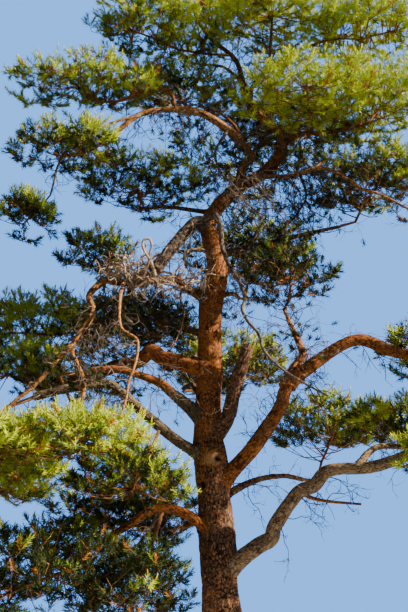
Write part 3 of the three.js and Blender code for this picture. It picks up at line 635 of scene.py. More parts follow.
barkColours = {  # by tone: material, crack, plate, old plate, flake, pale flake, and how much of it flakes
    "orange": ["orangeBark", (0.018, 0.007, 0.003), (0.15, 0.048, 0.014), (0.12, 0.06, 0.033),
               (0.55, 0.15, 0.008), (0.68, 0.29, 0.05), 0.42],
    # warm is a lighter copy of the orange bark: painted sunlight for limbs that stand in the sun
    "warm": ["warmBark", (0.03, 0.012, 0.005), (0.3, 0.125, 0.045), (0.2, 0.1, 0.05),
             (0.68, 0.27, 0.045), (0.85, 0.52, 0.22), 0.55],
    "brown": ["brownBark", (0.02, 0.01, 0.006), (0.12, 0.055, 0.028), (0.07, 0.045, 0.033),
              (0.36, 0.13, 0.04), (0.42, 0.27, 0.17), 0.3],
    "pale": ["paleBark", (0.05, 0.032, 0.018), (0.28, 0.195, 0.11), (0.19, 0.14, 0.085),
             (0.5, 0.31, 0.14), (0.66, 0.54, 0.33), 0.4],
    "grey": ["greyBark", (0.025, 0.018, 0.012), (0.12, 0.1, 0.06), (0.09, 0.075, 0.045),
             (0.2, 0.15, 0.07), (0.25, 0.22, 0.13), 0.15],
    "stub": ["stubBark", (0.035, 0.026, 0.02), (0.15, 0.12, 0.1), (0.13, 0.105, 0.088),
             (0.24, 0.15, 0.1), (0.34, 0.29, 0.24), 0.2],
    "dead": ["deadWood", (0.06, 0.045, 0.035), (0.24, 0.19, 0.15), (0.2, 0.16, 0.13),
             (0.34, 0.26, 0.19), (0.44, 0.38, 0.32), 0.3],
}
barkMaterials = {tone: barkMaterial(*row) for tone, row in barkColours.items()}


plainLook = {"detail": 3.0, "patchEdge": (0.35, 0.65), "roughSpread": 0.08, "shine": 0.2}


# A plain finish with slight patches: one colour mixed with a second by noise, and a small roughness change
def plainMaterial(name, colour, second, rough, scale=9.0):
    material = bpy.data.materials.new(name)
    material.use_nodes = True
    tree = material.node_tree
    shader = tree.nodes["Principled BSDF"]
    place = addNode(tree, "ShaderNodeTexCoord", (-900, 0)).outputs["Object"]
    patches = noiseOf(tree, place, scale, plainLook["detail"])
    amount = remap(tree, patches, *plainLook["patchEdge"])
    tree.links.new(mixColours(tree, (*colour, 1), (*second, 1), amount), shader.inputs["Base Color"])
    spread = plainLook["roughSpread"]
    roughness = remap(tree, patches, 0.3, 0.7, rough + spread, rough - spread)
    tree.links.new(roughness, shader.inputs["Roughness"])
    shader.inputs["Specular IOR Level"].default_value = plainLook["shine"]
    return material


print("stage: materials made")

trunkPath = legsPath([0, 0, 0], trunkLook["legs"])
trunkTable = np.array(trunkLook["radii"], float) / 1000


def trunkRadius(along, angle):  # taper from the table, with a flare in lobes that fades with height
    lobe = 0.6 + 0.4 * np.cos(trunkLook["flareLobes"] * angle)
    flare = trunkLook["flareSpread"] * np.exp(-along / trunkLook["flareHeight"]) * lobe
    return np.interp(along, trunkTable[:, 0], trunkTable[:, 1]) * (1 + flare)


trunkHeights = placeAt(trunkPath, np.linspace(0, 1, trunkLook["rings"]))[:, 2]
ringAges = ease(barkLook["oldBelow"], barkLook["flakyAbove"], trunkHeights)
trunkAge = np.repeat(ringAges[:, None], trunkLook["sides"], axis=1)
makeLimb("trunk", trunkPath, trunkRadius, 1, "orange", trunkLook["rings"], trunkLook["sides"], ["trunk"],
         age=trunkAge, burl=burlLook)


# A bough or fine limb: it starts on its parent's middle line, inside the parent's wood
def addBough(row, seed, replaced):
    name, parentName, at, (root, tip), tone, legs = row
    parent = limbs[parentName]
    path = legsPath(placeAt(parent["path"], min(1, at / 1000 / parent["path"]["length"])), legs)

    def radiusAt(along, angle):  # a taper alike all round
        share = np.clip(along / path["length"], 0, 1)
        return (root + (tip - root) * share ** woodLook["taper"]) / 1000 + 0 * angle

    parentRadius = float(parent["radiusAt"](np.array(at / 1000), np.array(0.0)))
    fewest, most = woodLook["fewestSides"], woodLook["mostSides"]
    sides = int(np.clip(fullTurn * root / woodLook["sideWide"], fewest, most))
    rings = int(path["length"] / woodLook["ringTall"]) + 2
    makeLimb(name, path, radiusAt, seed, tone, rings, sides, replaced, collar=parentRadius)


for boughSeed, boughRow in enumerate(boughs, 2):
    addBough(boughRow, boughSeed, [boughRow[0]])
for boughSeed, boughRow in enumerate(fineLimbs, 60):
    addBough(boughRow, boughSeed, [])
print("stage: limbs made", len(limbs))

# The masses of foliage, each growing from its limb by the source's rule, carried on to shoots and needles.
# A row is its name, parent, length along it or None for its tip, middle and half sizes in millimetres,
# painted brightness (how sunlit or shaded its needles are painted), and the share of the half height under
# which no side branch starts
masses = [
    ["top_mass", "leader", None, [-300, 150, 11300], [1200, 1000, 650], 0.88, -0.5],
    ["top_left_mass", "leader", 2050, [-1150, 0, 10350], [1050, 950, 600], 0.72, -0.5],
    ["top_middle_mass", "top_right_bough", 650, [700, -250, 10400], [1100, 900, 650], 1.0, -0.5],
    ["top_right_mass", "top_right_bough", None, [2300, 150, 10500], [1050, 1000, 650], 1.1, -0.5],
    ["right_plate_mass", "crown_right_bough", None, [2300, -50, 9000], [1050, 950, 600], 1.0, -0.5],
    ["right_front_mass", "crown_right_bough", 500, [1100, -950, 8600], [1050, 800, 500], 0.98, -0.5],
    ["right_upper_mass", "leader", 1000, [1200, 900, 9150], [1150, 850, 550], 0.35, -0.5],
    ["left_plate_mass", "left_plate_bough", None, [-2150, -400, 9100], [1300, 650, 420], 0.56, -0.5],
    ["left_inner_mass", "crown_left_bough", 1450, [-700, 450, 9500], [1100, 800, 480], 0.45, -0.5],
    ["left_under_mass", "crown_left_bough", None, [-2200, -700, 7800], [850, 650, 450], 0.12, -0.5],
    ["drooping_mass", "drooping_bough", None, [-2800, -600, 6800], [430, 430, 400], -0.1, -0.5],
    ["upper_left_mass", "upper_left_bough", None, [-1350, 450, 7850], [1050, 800, 480], 0.2, -0.5],
    ["crown_back_mass", "leader", 560, [100, 1500, 8900], [1250, 950, 600], 0.15, -0.5],
    ["right_middle_mass", "right_middle_bough", None, [2250, 450, 7900], [1100, 950, 620], 0.2, -0.5],
    ["inner_back_mass", "back_high_bough", None, [450, 1800, 7300], [1200, 950, 700], 0.1, -0.5],
    ["left_behind_mass", "left_behind_bough", None, [-2800, 950, 5750], [1050, 900, 560], 0.78, -0.5],
    ["left_inner_back_mass", "left_behind_bough", 800, [-1400, 1600, 6000], [1000, 850, 600], 0.1, -0.5],
    ["elbow_mass", "elbow_inner_bough", 1350, [-1850, -150, 6450], [550, 500, 400], 0.12, -0.5],
    ["left_tip_mass", "left_thick_bough", None, [-2950, 400, 4900], [900, 850, 480], 0.55, -0.5],
    ["left_far_mass", "left_grey_bough", None, [-2850, -200, 3250], [850, 800, 560], 0.9, -0.5],
    ["left_outer_mass", "elbow_branch", None, [-2800, -1250, 3500], [850, 780, 450], 0.82, -0.5],
    ["left_front_mass", "left_orange_bough", None, [-1750, -1300, 3550], [950, 740, 450], 0.58, -0.5],
    ["left_middle_mass", "left_grey_bough", 800, [-1200, -1000, 3150], [720, 740, 460], 0.05, -0.5],
    ["left_low_mass", "left_lowest_bough", None, [-2250, -800, 2150], [1100, 950, 650], -0.45, -0.85],
    ["left_low_inner_mass", "left_lowest_bough", 800, [-1200, -550, 2000], [720, 850, 650], -0.5, -0.85],
    ["left_low_back_mass", "trunk", 2950, [-1500, 1050, 3050], [1150, 900, 600], -0.35, -0.85],
    ["right_tip_mass", "right_rising_bough", None, [2900, -450, 4950], [950, 1000, 560], 0.35, -0.5],
    ["right_spur_mass", "right_spur", None, [850, -150, 6150], [680, 680, 500], -0.3, -0.5],
    ["right_low_mass", "right_lowest_bough", None, [2700, -850, 3500], [850, 800, 480], 0.35, -0.85],
    ["right_fork_mass", "right_fork_bough", None, [2450, 350, 4100], [950, 780, 500], 0.2, -0.5],
    ["right_back_mass", "back_low_bough", None, [1600, 1500, 4350], [950, 850, 560], 0.12, -0.5],
    ["middle_back_mass", "back_middle_bough", None, [100, 2000, 5400], [1150, 900, 650], 0.12, -0.5],
]

openMasses = {  # share of their twigs that the thinner masses keep
    "crown_back_mass": 0.5, "inner_back_mass": 0.68, "right_spur_mass": 0.8, "upper_left_mass": 0.85,
}

foliageLook = {
    "sideTwigs": 16,  # side twigs of a mass by the source's rule
    "clearOfRim": 0.555,  # they and the stem end so far inside the mass's surface
    "longTwig": 0.42,  # a side twig over this length carries three side branches, another two
    "twigRise": 0.3, "stemLift": 0.16,  # how far twigs and stems turn up
    "pads": 3.72,  # finer twigs between those, on a square metre of a mass's surface
    "padDepths": (0.46, 0.78, 0.64), "padSpread": 0.18,  # shares of the way out at which they end, in turn
    "padTurns": (0.0, 1.15, -1.15, 2.6),  # their side branches: three at the tip and one behind, in radians
    "stemRadii": (0.028, 0.016), "sideRadii": (0.011, 0.005), "padRadii": (0.008, 0.004),
    "branchRadii": (0.0055, 0.0025), "woodRings": 5,
    "branchlet": 0.3,  # length of a side branch
    "leastRoom": 0.12,  # a side branch with less room is left out
    "bareWithin": 0.34,  # no side branch starts nearer the middle of its space than this share
    "shoots": 7, "shootLong": 0.135, "shootShort": 0.095,  # on a side branch, at its root and its tip
    "shootLean": (72, 46, 14),  # degrees from the side branch at its root and its tip, and their spread
    "needles": 17, "needleLong": 0.064, "needleWide": 0.0135, "needleTip": 0.35,
    "needleLean": (68, 34, 8),  # degrees from the shoot at its root and its tip, and their spread
    "shootRadius": 0.003, "budRadius": 0.009, "budLong": (0.06, 0.12),
}


# How far the surface of a mass's space lies from a point: the larger root of the quadratic where the point
# plus that many directions, both divided by the half sizes, has length 1
def spaceReach(centre, half, point, direction):
    start, along = (point - centre) / half, direction / half
    square, slope, excess = along @ along, start @ along, start @ start - 1
    inside = slope * slope - square * excess
    return (math.sqrt(inside) - slope) / square if inside > 0 else 0.0


# The stem of a mass: out of its bough, through the middle of its space and on, as in the source
def massStem(row):
    name, parentName, at, centre, half, bright, foot = row
    centre, half = np.array(centre) / 1000, np.array(half) / 1000
    parent = limbs[parentName]
    parentLength = parent["path"]["length"]
    share = 1 if at is None else at / 1000 / parentLength
    base, out = placeAt(parent["path"], share), aheadAt(parent["path"], share)
    toMiddle = centre - base
    run = np.linalg.norm(toMiddle)
    points = [base - out * 0.02, base + out * run * 0.25] if at is None else [base]
    points.append(base + toMiddle * 0.6 - upward * run * foliageLook["stemLift"] * 0.6)
    points.append(centre)
    onward = unit(unit(toMiddle) + upward * foliageLook["stemLift"])
    reach = max(0.045, spaceReach(centre, half, centre, onward) - foliageLook["clearOfRim"])
    points.append(centre + onward * reach)
    path = smoothPath(points)
    root, tip = foliageLook["stemRadii"]
    root = min(root, 0.85 * float(parent["radiusAt"](np.array(share * parentLength), np.array(0.0))))
    entry = 0.0  # the share of its length at which it has entered its space
    while entry < 0.8 and np.linalg.norm((placeAt(path, entry) - centre) / half) > 0.9:
        entry += 0.02
    return {"name": name, "centre": centre, "half": half, "bright": bright, "foot": foot, "stem": path,
            "entry": entry, "radii": (root, min(root, tip))}


# A side twig: it leaves the stem a golden angle round from the last one, and turns up
def sideTwig(mass, seed, index, twigs):
    share = mass["entry"] + (0.98 - mass["entry"]) * (index + 0.5) / twigs
    root, ahead = placeAt(mass["stem"], share), aheadAt(mass["stem"], share)
    side = unit(np.cross(upward, ahead))
    over = np.cross(ahead, side)
    turn = index * goldenAngle + chance(seed, index) * 0.9
    outward = side * math.cos(turn) + over * math.sin(turn) * 0.75
    start = unit(outward + ahead * 0.35)
    room = spaceReach(mass["centre"], mass["half"], root, start)
    length = max(0.09, room - foliageLook["clearOfRim"])
    bend = unit(start + upward * foliageLook["twigRise"])
    middle = root + start * length * 0.5
    return smoothPath([root, middle, middle + bend * length * 0.5], 6), length


# A finer twig between those: it leaves the stem at its nearest point and ends under one of the points
# strewn evenly over the mass's space, on a spiral from its top to its underside
def padTwig(mass, seed, index, pads):
    height = 1 - (1 - mass["foot"]) * (index + 0.5) / pads
    turn = index * goldenAngle + seed + 0.7 * chance(seed + 230, index)
    flat = math.sqrt(max(0.0, 1 - height * height))
    outward = np.array([math.cos(turn) * flat, math.sin(turn) * flat, height])
    depth = foliageLook["padDepths"][index % 3] + foliageLook["padSpread"] * chance(seed + 210, index)
    aim = mass["centre"] + outward * mass["half"] * depth
    spots = placeAt(mass["stem"], np.linspace(mass["entry"], 0.95, 14))
    root = spots[np.argmin(np.linalg.norm(spots - aim, axis=1))]
    length = np.linalg.norm(aim - root)
    middle = root + (aim - root) * 0.5 - upward * length * 0.12
    return smoothPath([root, middle, aim], 6), outward


# The number of finer twigs: so many to a square metre of the ellipsoid's surface, for which the half sizes
# are raised to a power, multiplied in pairs and averaged
def padCount(half):
    power = 1.6
    wide, deep, high = half ** power
    surface = 4 * math.pi * ((wide * deep + wide * high + deep * high) / 3) ** (1 / power)
    return surface * foliageLook["pads"]


grown = [massStem(massRow) for massRow in masses]
woodPaths, woodRadii, branchRows = [], [], []


def addWood(path, radii):  # one twig in the joined wood
    share = np.linspace(0, 1, foliageLook["woodRings"])
    woodPaths.append(placeAt(path, share))
    woodRadii.append(radii[0] + (radii[1] - radii[0]) * share)


def addBranchlet(massIndex, start, direction, key):  # a side branch, unless it has no room
    mass = grown[massIndex]
    direction = unit(direction)
    size = foliageLook["branchlet"] * (0.8 + 0.4 * chance(massIndex + 90, key))
    room = spaceReach(mass["centre"], mass["half"], start, direction) * 1.05
    offset = (start - mass["centre"]) / mass["half"]
    inPlace = offset[2] > mass["foot"] and np.linalg.norm(offset) > foliageLook["bareWithin"]
    if inPlace and room > foliageLook["leastRoom"]:
        branchRows.append([massIndex, *start, *direction, min(size, room)])


# Side twigs of one mass, with side branches at the tip and further in, left and right by turns
def growSideTwigs(massIndex, mass, twigs):
    for index in range(twigs):
        twig, length = sideTwig(mass, massIndex, index, twigs)
        addWood(twig, foliageLook["sideRadii"])
        for spot, share in enumerate([1, 0.6, 0.35] if length > foliageLook["longTwig"] else [1, 0.5]):
            ahead = aheadAt(twig, share)
            side = unit(np.cross(upward, ahead))
            key = index * 5 + spot
            hand = 1 if (spot + index) % 2 else -1
            lean = 0 if spot == 0 else hand * (1 + 0.4 * chance(massIndex + 50, key))
            direction = ahead * math.cos(lean) + side * math.sin(lean) + upward * foliageLook["twigRise"]
            addBranchlet(massIndex, placeAt(twig, share), direction, key)


# Finer twigs of one mass, each with three side branches at its tip and a steep one further in
def growPadTwigs(massIndex, mass, pads):
    for index in range(pads):
        twig, outward = padTwig(mass, massIndex, index, pads)
        addWood(twig, foliageLook["padRadii"])
        ahead = unit(outward * [1, 1, 0.35] + upward * 0.3)
        side = unit(np.cross(upward, ahead))
        for spot, turn in enumerate(foliageLook["padTurns"]):
            key = 200 + index * 5 + spot
            turn += 0.5 * (chance(massIndex + 50, key) - 0.5)
            share, rise = (1.0, 0.25) if spot < 3 else (0.8, 0.9)
            direction = ahead * math.cos(turn) + side * math.sin(turn) + upward * rise
            addBranchlet(massIndex, placeAt(twig, share), direction, key)


for massIndex, mass in enumerate(grown):
    addWood(mass["stem"], mass["radii"])
    addBranchlet(massIndex, placeAt(mass["stem"], 1.0), aheadAt(mass["stem"], 1.0), 999)
    kept = openMasses.get(mass["name"], 1)
    growSideTwigs(massIndex, mass, round(foliageLook["sideTwigs"] * kept))
    growPadTwigs(massIndex, mass, round(padCount(mass["half"]) * kept))
branchRows = np.array(branchRows)
branchMass, branchRoot = branchRows[:, 0].astype(int), branchRows[:, 1:4]
branchAhead, branchLength = branchRows[:, 4:7], branchRows[:, 7]
branches = len(branchRows)
rng = np.random.default_rng(7)
print("stage: side branches", branches)

# Side branches: two straight halves eased into a bow that turns up
branchUp = unit(branchAhead + upward * 0.3 + rng.normal(0, 0.15, (branches, 3)))
halfway = branchLength[:, None] / 2
branchMid = branchRoot + branchAhead * halfway
branchEnd = branchMid + branchUp * halfway


# A point and direction on every side branch at a share of it: a parabola over three points
def onBranch(share):
    share = share[..., None]
    root, middle, end = branchRoot[:, None], branchMid[:, None], branchEnd[:, None]
    point = root * (1 - share) ** 2 + middle * 2 * share * (1 - share) + end * share ** 2
    return point, unit((middle - root) * (1 - share) + (end - middle) * share)


branchShares = np.linspace(0, 1, 4)[None, :].repeat(branches, axis=0)
branchPaths = onBranch(branchShares)[0]
branchFoot, branchTip = foliageLook["branchRadii"]
branchRadii = branchFoot + (branchTip - branchFoot) * branchShares


# Shoots: they leave the side branch left and right by turns, lean out and turn up, and the last goes on
# ahead. It returns their feet, tips, directions and side branches
def shootArrays():
    count = foliageLook["shoots"]
    share = np.linspace(0.25, 1.0, count)[None, :] + rng.normal(0, 0.04, (branches, count))
    share = np.clip(share, 0.12, 1)
    foot, ahead = onBranch(share)
    side = unit(np.cross(upward, ahead))
    hand = np.where(np.arange(count) % 2 == 0, 1.0, -1.0)[None, :, None]
    last = (np.arange(count) == count - 1)[None, :, None]
    leanRoot, leanTip, leanSpread = foliageLook["shootLean"]
    lean = leanRoot + (leanTip - leanRoot) * share + rng.normal(0, leanSpread, (branches, count))
    lean = np.radians(lean)[..., None]
    lift = rng.normal(0.3, 0.55, (branches, count, 1))
    out = unit(side * hand + np.cross(ahead, side) * lift)
    direction = np.where(last, ahead, unit(ahead * np.cos(lean) + out * np.sin(lean)))
    size = foliageLook["shootLong"] + (foliageLook["shootShort"] - foliageLook["shootLong"]) * share
    size = (size * rng.uniform(0.8, 1.2, size.shape))[..., None]
    turned = unit(direction + upward * rng.uniform(-0.15, 0.5, (branches, count, 1)))
    rows = [places.reshape(-1, 3) for places in (foot, foot + turned * size, turned)]
    return *rows, np.repeat(np.arange(branches), count)


# Which points lie in a limb or within a margin of it, measured against balls along each limb
def nearLimb(points, margin):
    hit = np.zeros(len(points), bool)
    for limb in limbs.values():
        length = limb["path"]["length"]
        shares = np.linspace(0, 1, int(length / 0.08) + 2)
        balls = placeAt(limb["path"], shares)
        reach = limb["radiusAt"](shares * length, np.zeros(len(shares))) + margin
        boxLow, boxHigh = balls.min(0) - 0.4, balls.max(0) + 0.4
        close = np.where(((points > boxLow) & (points < boxHigh)).all(1))[0]
        if len(close):
            away = np.linalg.norm(points[close, None] - balls[None], axis=2)
            hit[close] |= (away < reach[None]).any(1)
    return hit


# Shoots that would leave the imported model's box or pass through a limb are left out
allShoots = shootArrays()
allTips = allShoots[1]
inBox = ((allTips > np.array(cadLow)) & (allTips < np.array(cadHigh))).all(1)
freeShoots = inBox & ~nearLimb(allTips, 0.02)
shootFoot, shootTip, shootUp, shootBranch = (rows[freeShoots] for rows in allShoots)
shootMass = branchMass[shootBranch]
shoots = len(shootFoot)
print("stage: shoots", shoots)

# The painted light and shade of each shoot: high, outer and sunward (+x) ones are painted lit, low and inner
# ones painted in shade, a few brown
paintedLightLook = {
    "high": 0.42, "outer": 0.2, "right": 0.1, "bright": 0.9,  # painted light by its place in its mass (+x is the sun's side), and the mass's painted brightness
    "spray": 0.27, "shoot": 0.16,  # spread from one side branch and shoot to the next
    "highInSpray": 1.5, "sunSideInSpray": 0.6, "shade": 0.08,
    "light": 0.36, "fresh": 0.08, "brown": 0.05,  # scores from which it is painted lit or half-shaded, and share of brown
}
centres = np.array([mass["centre"] for mass in grown])[shootMass]
halves = np.array([mass["half"] for mass in grown])[shootMass]
bright = np.array([mass["bright"] for mass in grown])[shootMass]
inMass, inSpray = (shootTip - centres) / halves, shootTip - branchMid[shootBranch]
score = paintedLightLook["high"] * inMass[:, 2] + paintedLightLook["outer"] * np.linalg.norm(inMass, axis=1)
score += paintedLightLook["bright"] * (bright - 0.4) + paintedLightLook["right"] * inMass[:, 0] - paintedLightLook["shade"]
score += rng.normal(0, paintedLightLook["spray"], branches)[shootBranch] + rng.normal(0, paintedLightLook["shoot"], shoots)
# higher and sunward shoots within their side branch are painted lighter
score += paintedLightLook["highInSpray"] * inSpray[:, 2] + paintedLightLook["sunSideInSpray"] * inSpray[:, 0]
shootLitClass = np.where(score > paintedLightLook["light"], 0, np.where(score > paintedLightLook["fresh"], 1, 2))
shootLitClass = np.where(rng.random(shoots) < paintedLightLook["brown"], 3, shootLitClass)

needleMaterials = {  # painted sunlit, half-shaded and shaded copies of one needle green, and brown; each two colours that vary in patches
    "Light": plainMaterial("paintedSunlitNeedles", (0.74, 0.83, 0.06), (0.42, 0.56, 0.036), 0.6),
    "Fresh": plainMaterial("paintedHalfShadeNeedles", (0.23, 0.33, 0.022), (0.14, 0.21, 0.016), 0.6),
    "Deep": plainMaterial("paintedShadeNeedles", (0.042, 0.064, 0.01), (0.026, 0.042, 0.008), 0.6),
    "Brown": plainMaterial("brownNeedles", (0.56, 0.24, 0.04), (0.34, 0.13, 0.025), 0.6),
}


# Needles: each a narrow blade of two triangles, twisted from root to tip, that leaves the shoot at an angle
# which closes towards the tip, a golden angle round from the last one
def needleArrays(foot, top):
    count = foliageLook["needles"]
    axis = unit(top - foot)
    one = squareTo(axis)
    two = np.cross(axis, one)
    along = 0.12 + 0.88 * (np.arange(count) + 0.5)[None, :] / count + rng.normal(0, 0.02, (len(axis), count))
    around = np.arange(count)[None, :] * goldenAngle + rng.random((len(axis), 1)) * anyTurn
    leanRoot, leanTip, leanSpread = foliageLook["needleLean"]
    lean = np.radians(leanRoot + (leanTip - leanRoot) * along + rng.normal(0, leanSpread, along.shape))
    ring = one[:, None] * np.cos(around)[..., None] + two[:, None] * np.sin(around)[..., None]
    direction = unit(axis[:, None] * np.cos(lean)[..., None] + ring * np.sin(lean)[..., None])
    root = foot[:, None] + (top - foot)[:, None] * along[..., None]
    long = (foliageLook["needleLong"] * rng.uniform(0.8, 1.15, along.shape))[..., None]
    wide = unit(np.cross(direction, axis[:, None])) * foliageLook["needleWide"] / 2
    over = np.cross(direction, wide)
    end = (wide * 0.65 + over * 0.75) * foliageLook["needleTip"]
    point = root + direction * long
    corners = np.stack([root - wide, root + wide, point + end, point - end], axis=2).reshape(-1, 3)
    first = np.arange(len(axis) * count)[:, None] * 4
    faces = np.concatenate([first + [0, 1, 2], first + [0, 2, 3]])
    return corners, [faces]


# Three corners a third of a turn apart round each of many middles
def triangleRings(middle, ahead, radius):
    one = squareTo(ahead)
    two = np.cross(ahead, one)
    return [middle + (one * math.cos(turn) + two * math.sin(turn)) * radius
            for turn in (0, fullTurn / 3, 2 * fullTurn / 3)]


# Many thin closed cones at once: a foot of three corners and a tip, four triangles
def coneArrays(foot, top, radius):
    corners = np.stack([*triangleRings(foot, unit(top - foot), radius), top], axis=1).reshape(-1, 3)
    first = np.arange(len(foot))[:, None] * 4
    return corners, [np.concatenate([first + face for face in ([0, 2, 1], [0, 1, 3], [1, 2, 3], [2, 0, 3])])]


# Many three-sided spindles at once: a foot, a waist of three corners and a tip, closed by six triangles
def spindleArrays(foot, waist, top, radius):
    waistCorners = triangleRings(waist, unit(top - foot), radius)
    corners = np.stack([foot, *waistCorners, top], axis=1).reshape(-1, 3)
    first = np.arange(len(foot))[:, None] * 5
    return corners, [np.concatenate([first + face for face in (
        [0, 2, 1], [0, 3, 2], [0, 1, 3], [4, 1, 2], [4, 2, 3], [4, 3, 1])])]


# Soft upright spindles of new growth at the ends of shoots painted sunlit
def budArrays(picked):
    foot = shootTip[picked] - shootUp[picked] * 0.01
    axis = unit(shootUp[picked] + upward * 0.8 + rng.normal(0, 0.15, (len(picked), 3)))
    long = rng.uniform(*foliageLook["budLong"], (len(picked), 1))
    return spindleArrays(foot, foot + axis * long * 0.4, foot + axis * long, foliageLook["budRadius"])


def massesOf(picked):  # the masses that some shoots belong to
    return [grown[number]["name"] for number in np.unique(shootMass[picked])]


mostTriangles = 190000  # in one joined piece
perPiece = mostTriangles // 2 // foliageLook["needles"]  # shoots in it, with two triangles to a needle
# one set of pieces for each class of painted light and shade, and one for the brown needles
for litIndex, toneName in enumerate(needleMaterials):
    chosen = np.where(shootLitClass == litIndex)[0]
    chosen = chosen[np.argsort(-centres[chosen, 2], kind="stable")]
    for number, first in enumerate(range(0, len(chosen), perPiece), 1):
        picked = chosen[first:first + perPiece]
        makePiece(f"needles{toneName}{number}", *needleArrays(shootFoot[picked], shootTip[picked]),
                  needleMaterials[toneName], "needles", massesOf(picked), smooth=False)
budMaterial = plainMaterial("newShootGreen", (0.6, 0.6, 0.03), (0.5, 0.46, 0.03), 0.6)
budShoots = np.where(shootLitClass == 0)[0]
budShoots = budShoots[(rng.random(len(budShoots)) < 0.75) & (inMass[budShoots, 2] > 0.1)]
makePiece("newShoots", *budArrays(budShoots), budMaterial, "needles", massesOf(budShoots))
print("stage: needles made")

# Twigs: stems and side twigs, side branches, and the thin shoots, each kind one set of closed forms
twigMaterial = plainMaterial("twigBark", (0.46, 0.19, 0.06), (0.15, 0.068, 0.03), 0.85, 6.0)
allMasses = [mass["name"] for mass in grown]
makePiece("crownTwigs", *tubeArrays(np.array(woodPaths), np.array(woodRadii), 4), twigMaterial, "bark",
          allMasses)
makePiece("sideBranches", *tubeArrays(branchPaths, branchRadii, 3), twigMaterial, "bark", allMasses)
topFirst = np.argsort(-centres[:, 2], kind="stable")
woodPieces = math.ceil(shoots * 4 / mostTriangles)
for number, picked in enumerate(np.array_split(topFirst, woodPieces), 1):
    shootCones = coneArrays(shootFoot[picked], shootTip[picked], foliageLook["shootRadius"])
    makePiece(f"shootWood{number}", *shootCones, twigMaterial, "bark", massesOf(picked), smooth=False)
print("stage: twigs made")


bareLook = {  # bare twigs all over the limbs, and the finer ones that leave them
    "onTrunk": (0.5, 0.93), "onLimbs": (0.18, 0.97),  # shares of the length that carry them
    "perMetre": 8, "crownPerMetre": 10, "crownAbove": 5.5,
    "long": 0.62, "radius": 0.0065,
    "forkTurn": 0.8, "forkLong": (0.35, 0.65), "forkThick": 0.6,  # a finer twig, as shares of its parent
    "tipThick": 0.35,  # a tip's radius as a share of the root's
}


# A crooked walk from each root: every leg turns from the last by a random amount and droops a little
def crookedWalks(root, ahead, length, legs, droop, crook):
    points, direction = [root], ahead
    for _ in range(legs):
        direction = unit(direction + rng.normal(0, crook, direction.shape) - upward * droop)
        points.append(points[-1] + direction * length[:, None] / legs)
    return np.stack(points, axis=1)


# Walks, and finer walks that leave them, twice over. It also returns the last two points of the finest
def bareTwigs(root, ahead, length, radius, legs=5, droop=0.08, crook=0.5, forks=(3, 2)):
    results = []
    for order, fork in enumerate((*forks, 0)):
        legs = max(3, legs - order)
        paths = crookedWalks(root, ahead, length, legs, droop, crook)
        radii = radius[:, None] * np.linspace(1, bareLook["tipThick"], legs + 1)[None]
        results.append(tubeArrays(paths, radii, 3))
        if not fork:
            break
        leaving = rng.integers(1, legs, (len(root), fork))
        walk = np.arange(len(root))[:, None]
        root = paths[walk, leaving].reshape(-1, 3)
        along = unit(paths[walk, leaving + 1] - paths[walk, leaving]).reshape(-1, 3)
        ahead = unit(along + rng.normal(0, bareLook["forkTurn"], along.shape))
        length = np.repeat(length, fork) * rng.uniform(*bareLook["forkLong"], len(root))
        radius = np.repeat(radius, fork) * bareLook["forkThick"]
    return joinArrays(results), paths[:, -2], paths[:, -1]


# Places strewn along part of a limb: the shares, their points, its direction, and a direction out of it
def strewnOn(limb, low, high, count):
    share = rng.uniform(low, high, count)
    ahead = aheadAt(limb["path"], share)
    out = unit(np.cross(ahead, rng.normal(0, 1, (count, 3))))
    return share, placeAt(limb["path"], share), ahead, out


deadTwigMaterial = plainMaterial("deadTwigs", (0.2, 0.15, 0.115), (0.1, 0.065, 0.045), 0.9, 11.0)
twigRoots, twigAheads, twigLengths = [], [], []
for limbName, limb in limbs.items():
    barest = bareLook["onTrunk" if limbName == "trunk" else "onLimbs"]
    path = limb["path"]
    perMetre = bareLook["crownPerMetre" if path["points"][-1][2] > bareLook["crownAbove"] else "perMetre"]
    twigCount = int(path["length"] * (barest[1] - barest[0]) * perMetre)
    share, place, ahead, out = strewnOn(limb, *barest, twigCount)
    limbRadius = limb["radiusAt"](share * path["length"], np.zeros(twigCount))
    twigRoots.append(place + out * (limbRadius * 0.8)[:, None])
    twigAheads.append(unit(out + ahead * 0.5))
    twigLengths.append(bareLook["long"] * rng.uniform(0.3, 1.1, twigCount))
twigRoots, twigAheads, twigLengths = (np.concatenate(rows) for rows in (twigRoots, twigAheads, twigLengths))
twigRadii = bareLook["radius"] * (0.6 + 0.6 * twigLengths / bareLook["long"])
makePiece("bareTwigs", *bareTwigs(twigRoots, twigAheads, twigLengths, twigRadii)[0], deadTwigMaterial,
          "dead_wood")

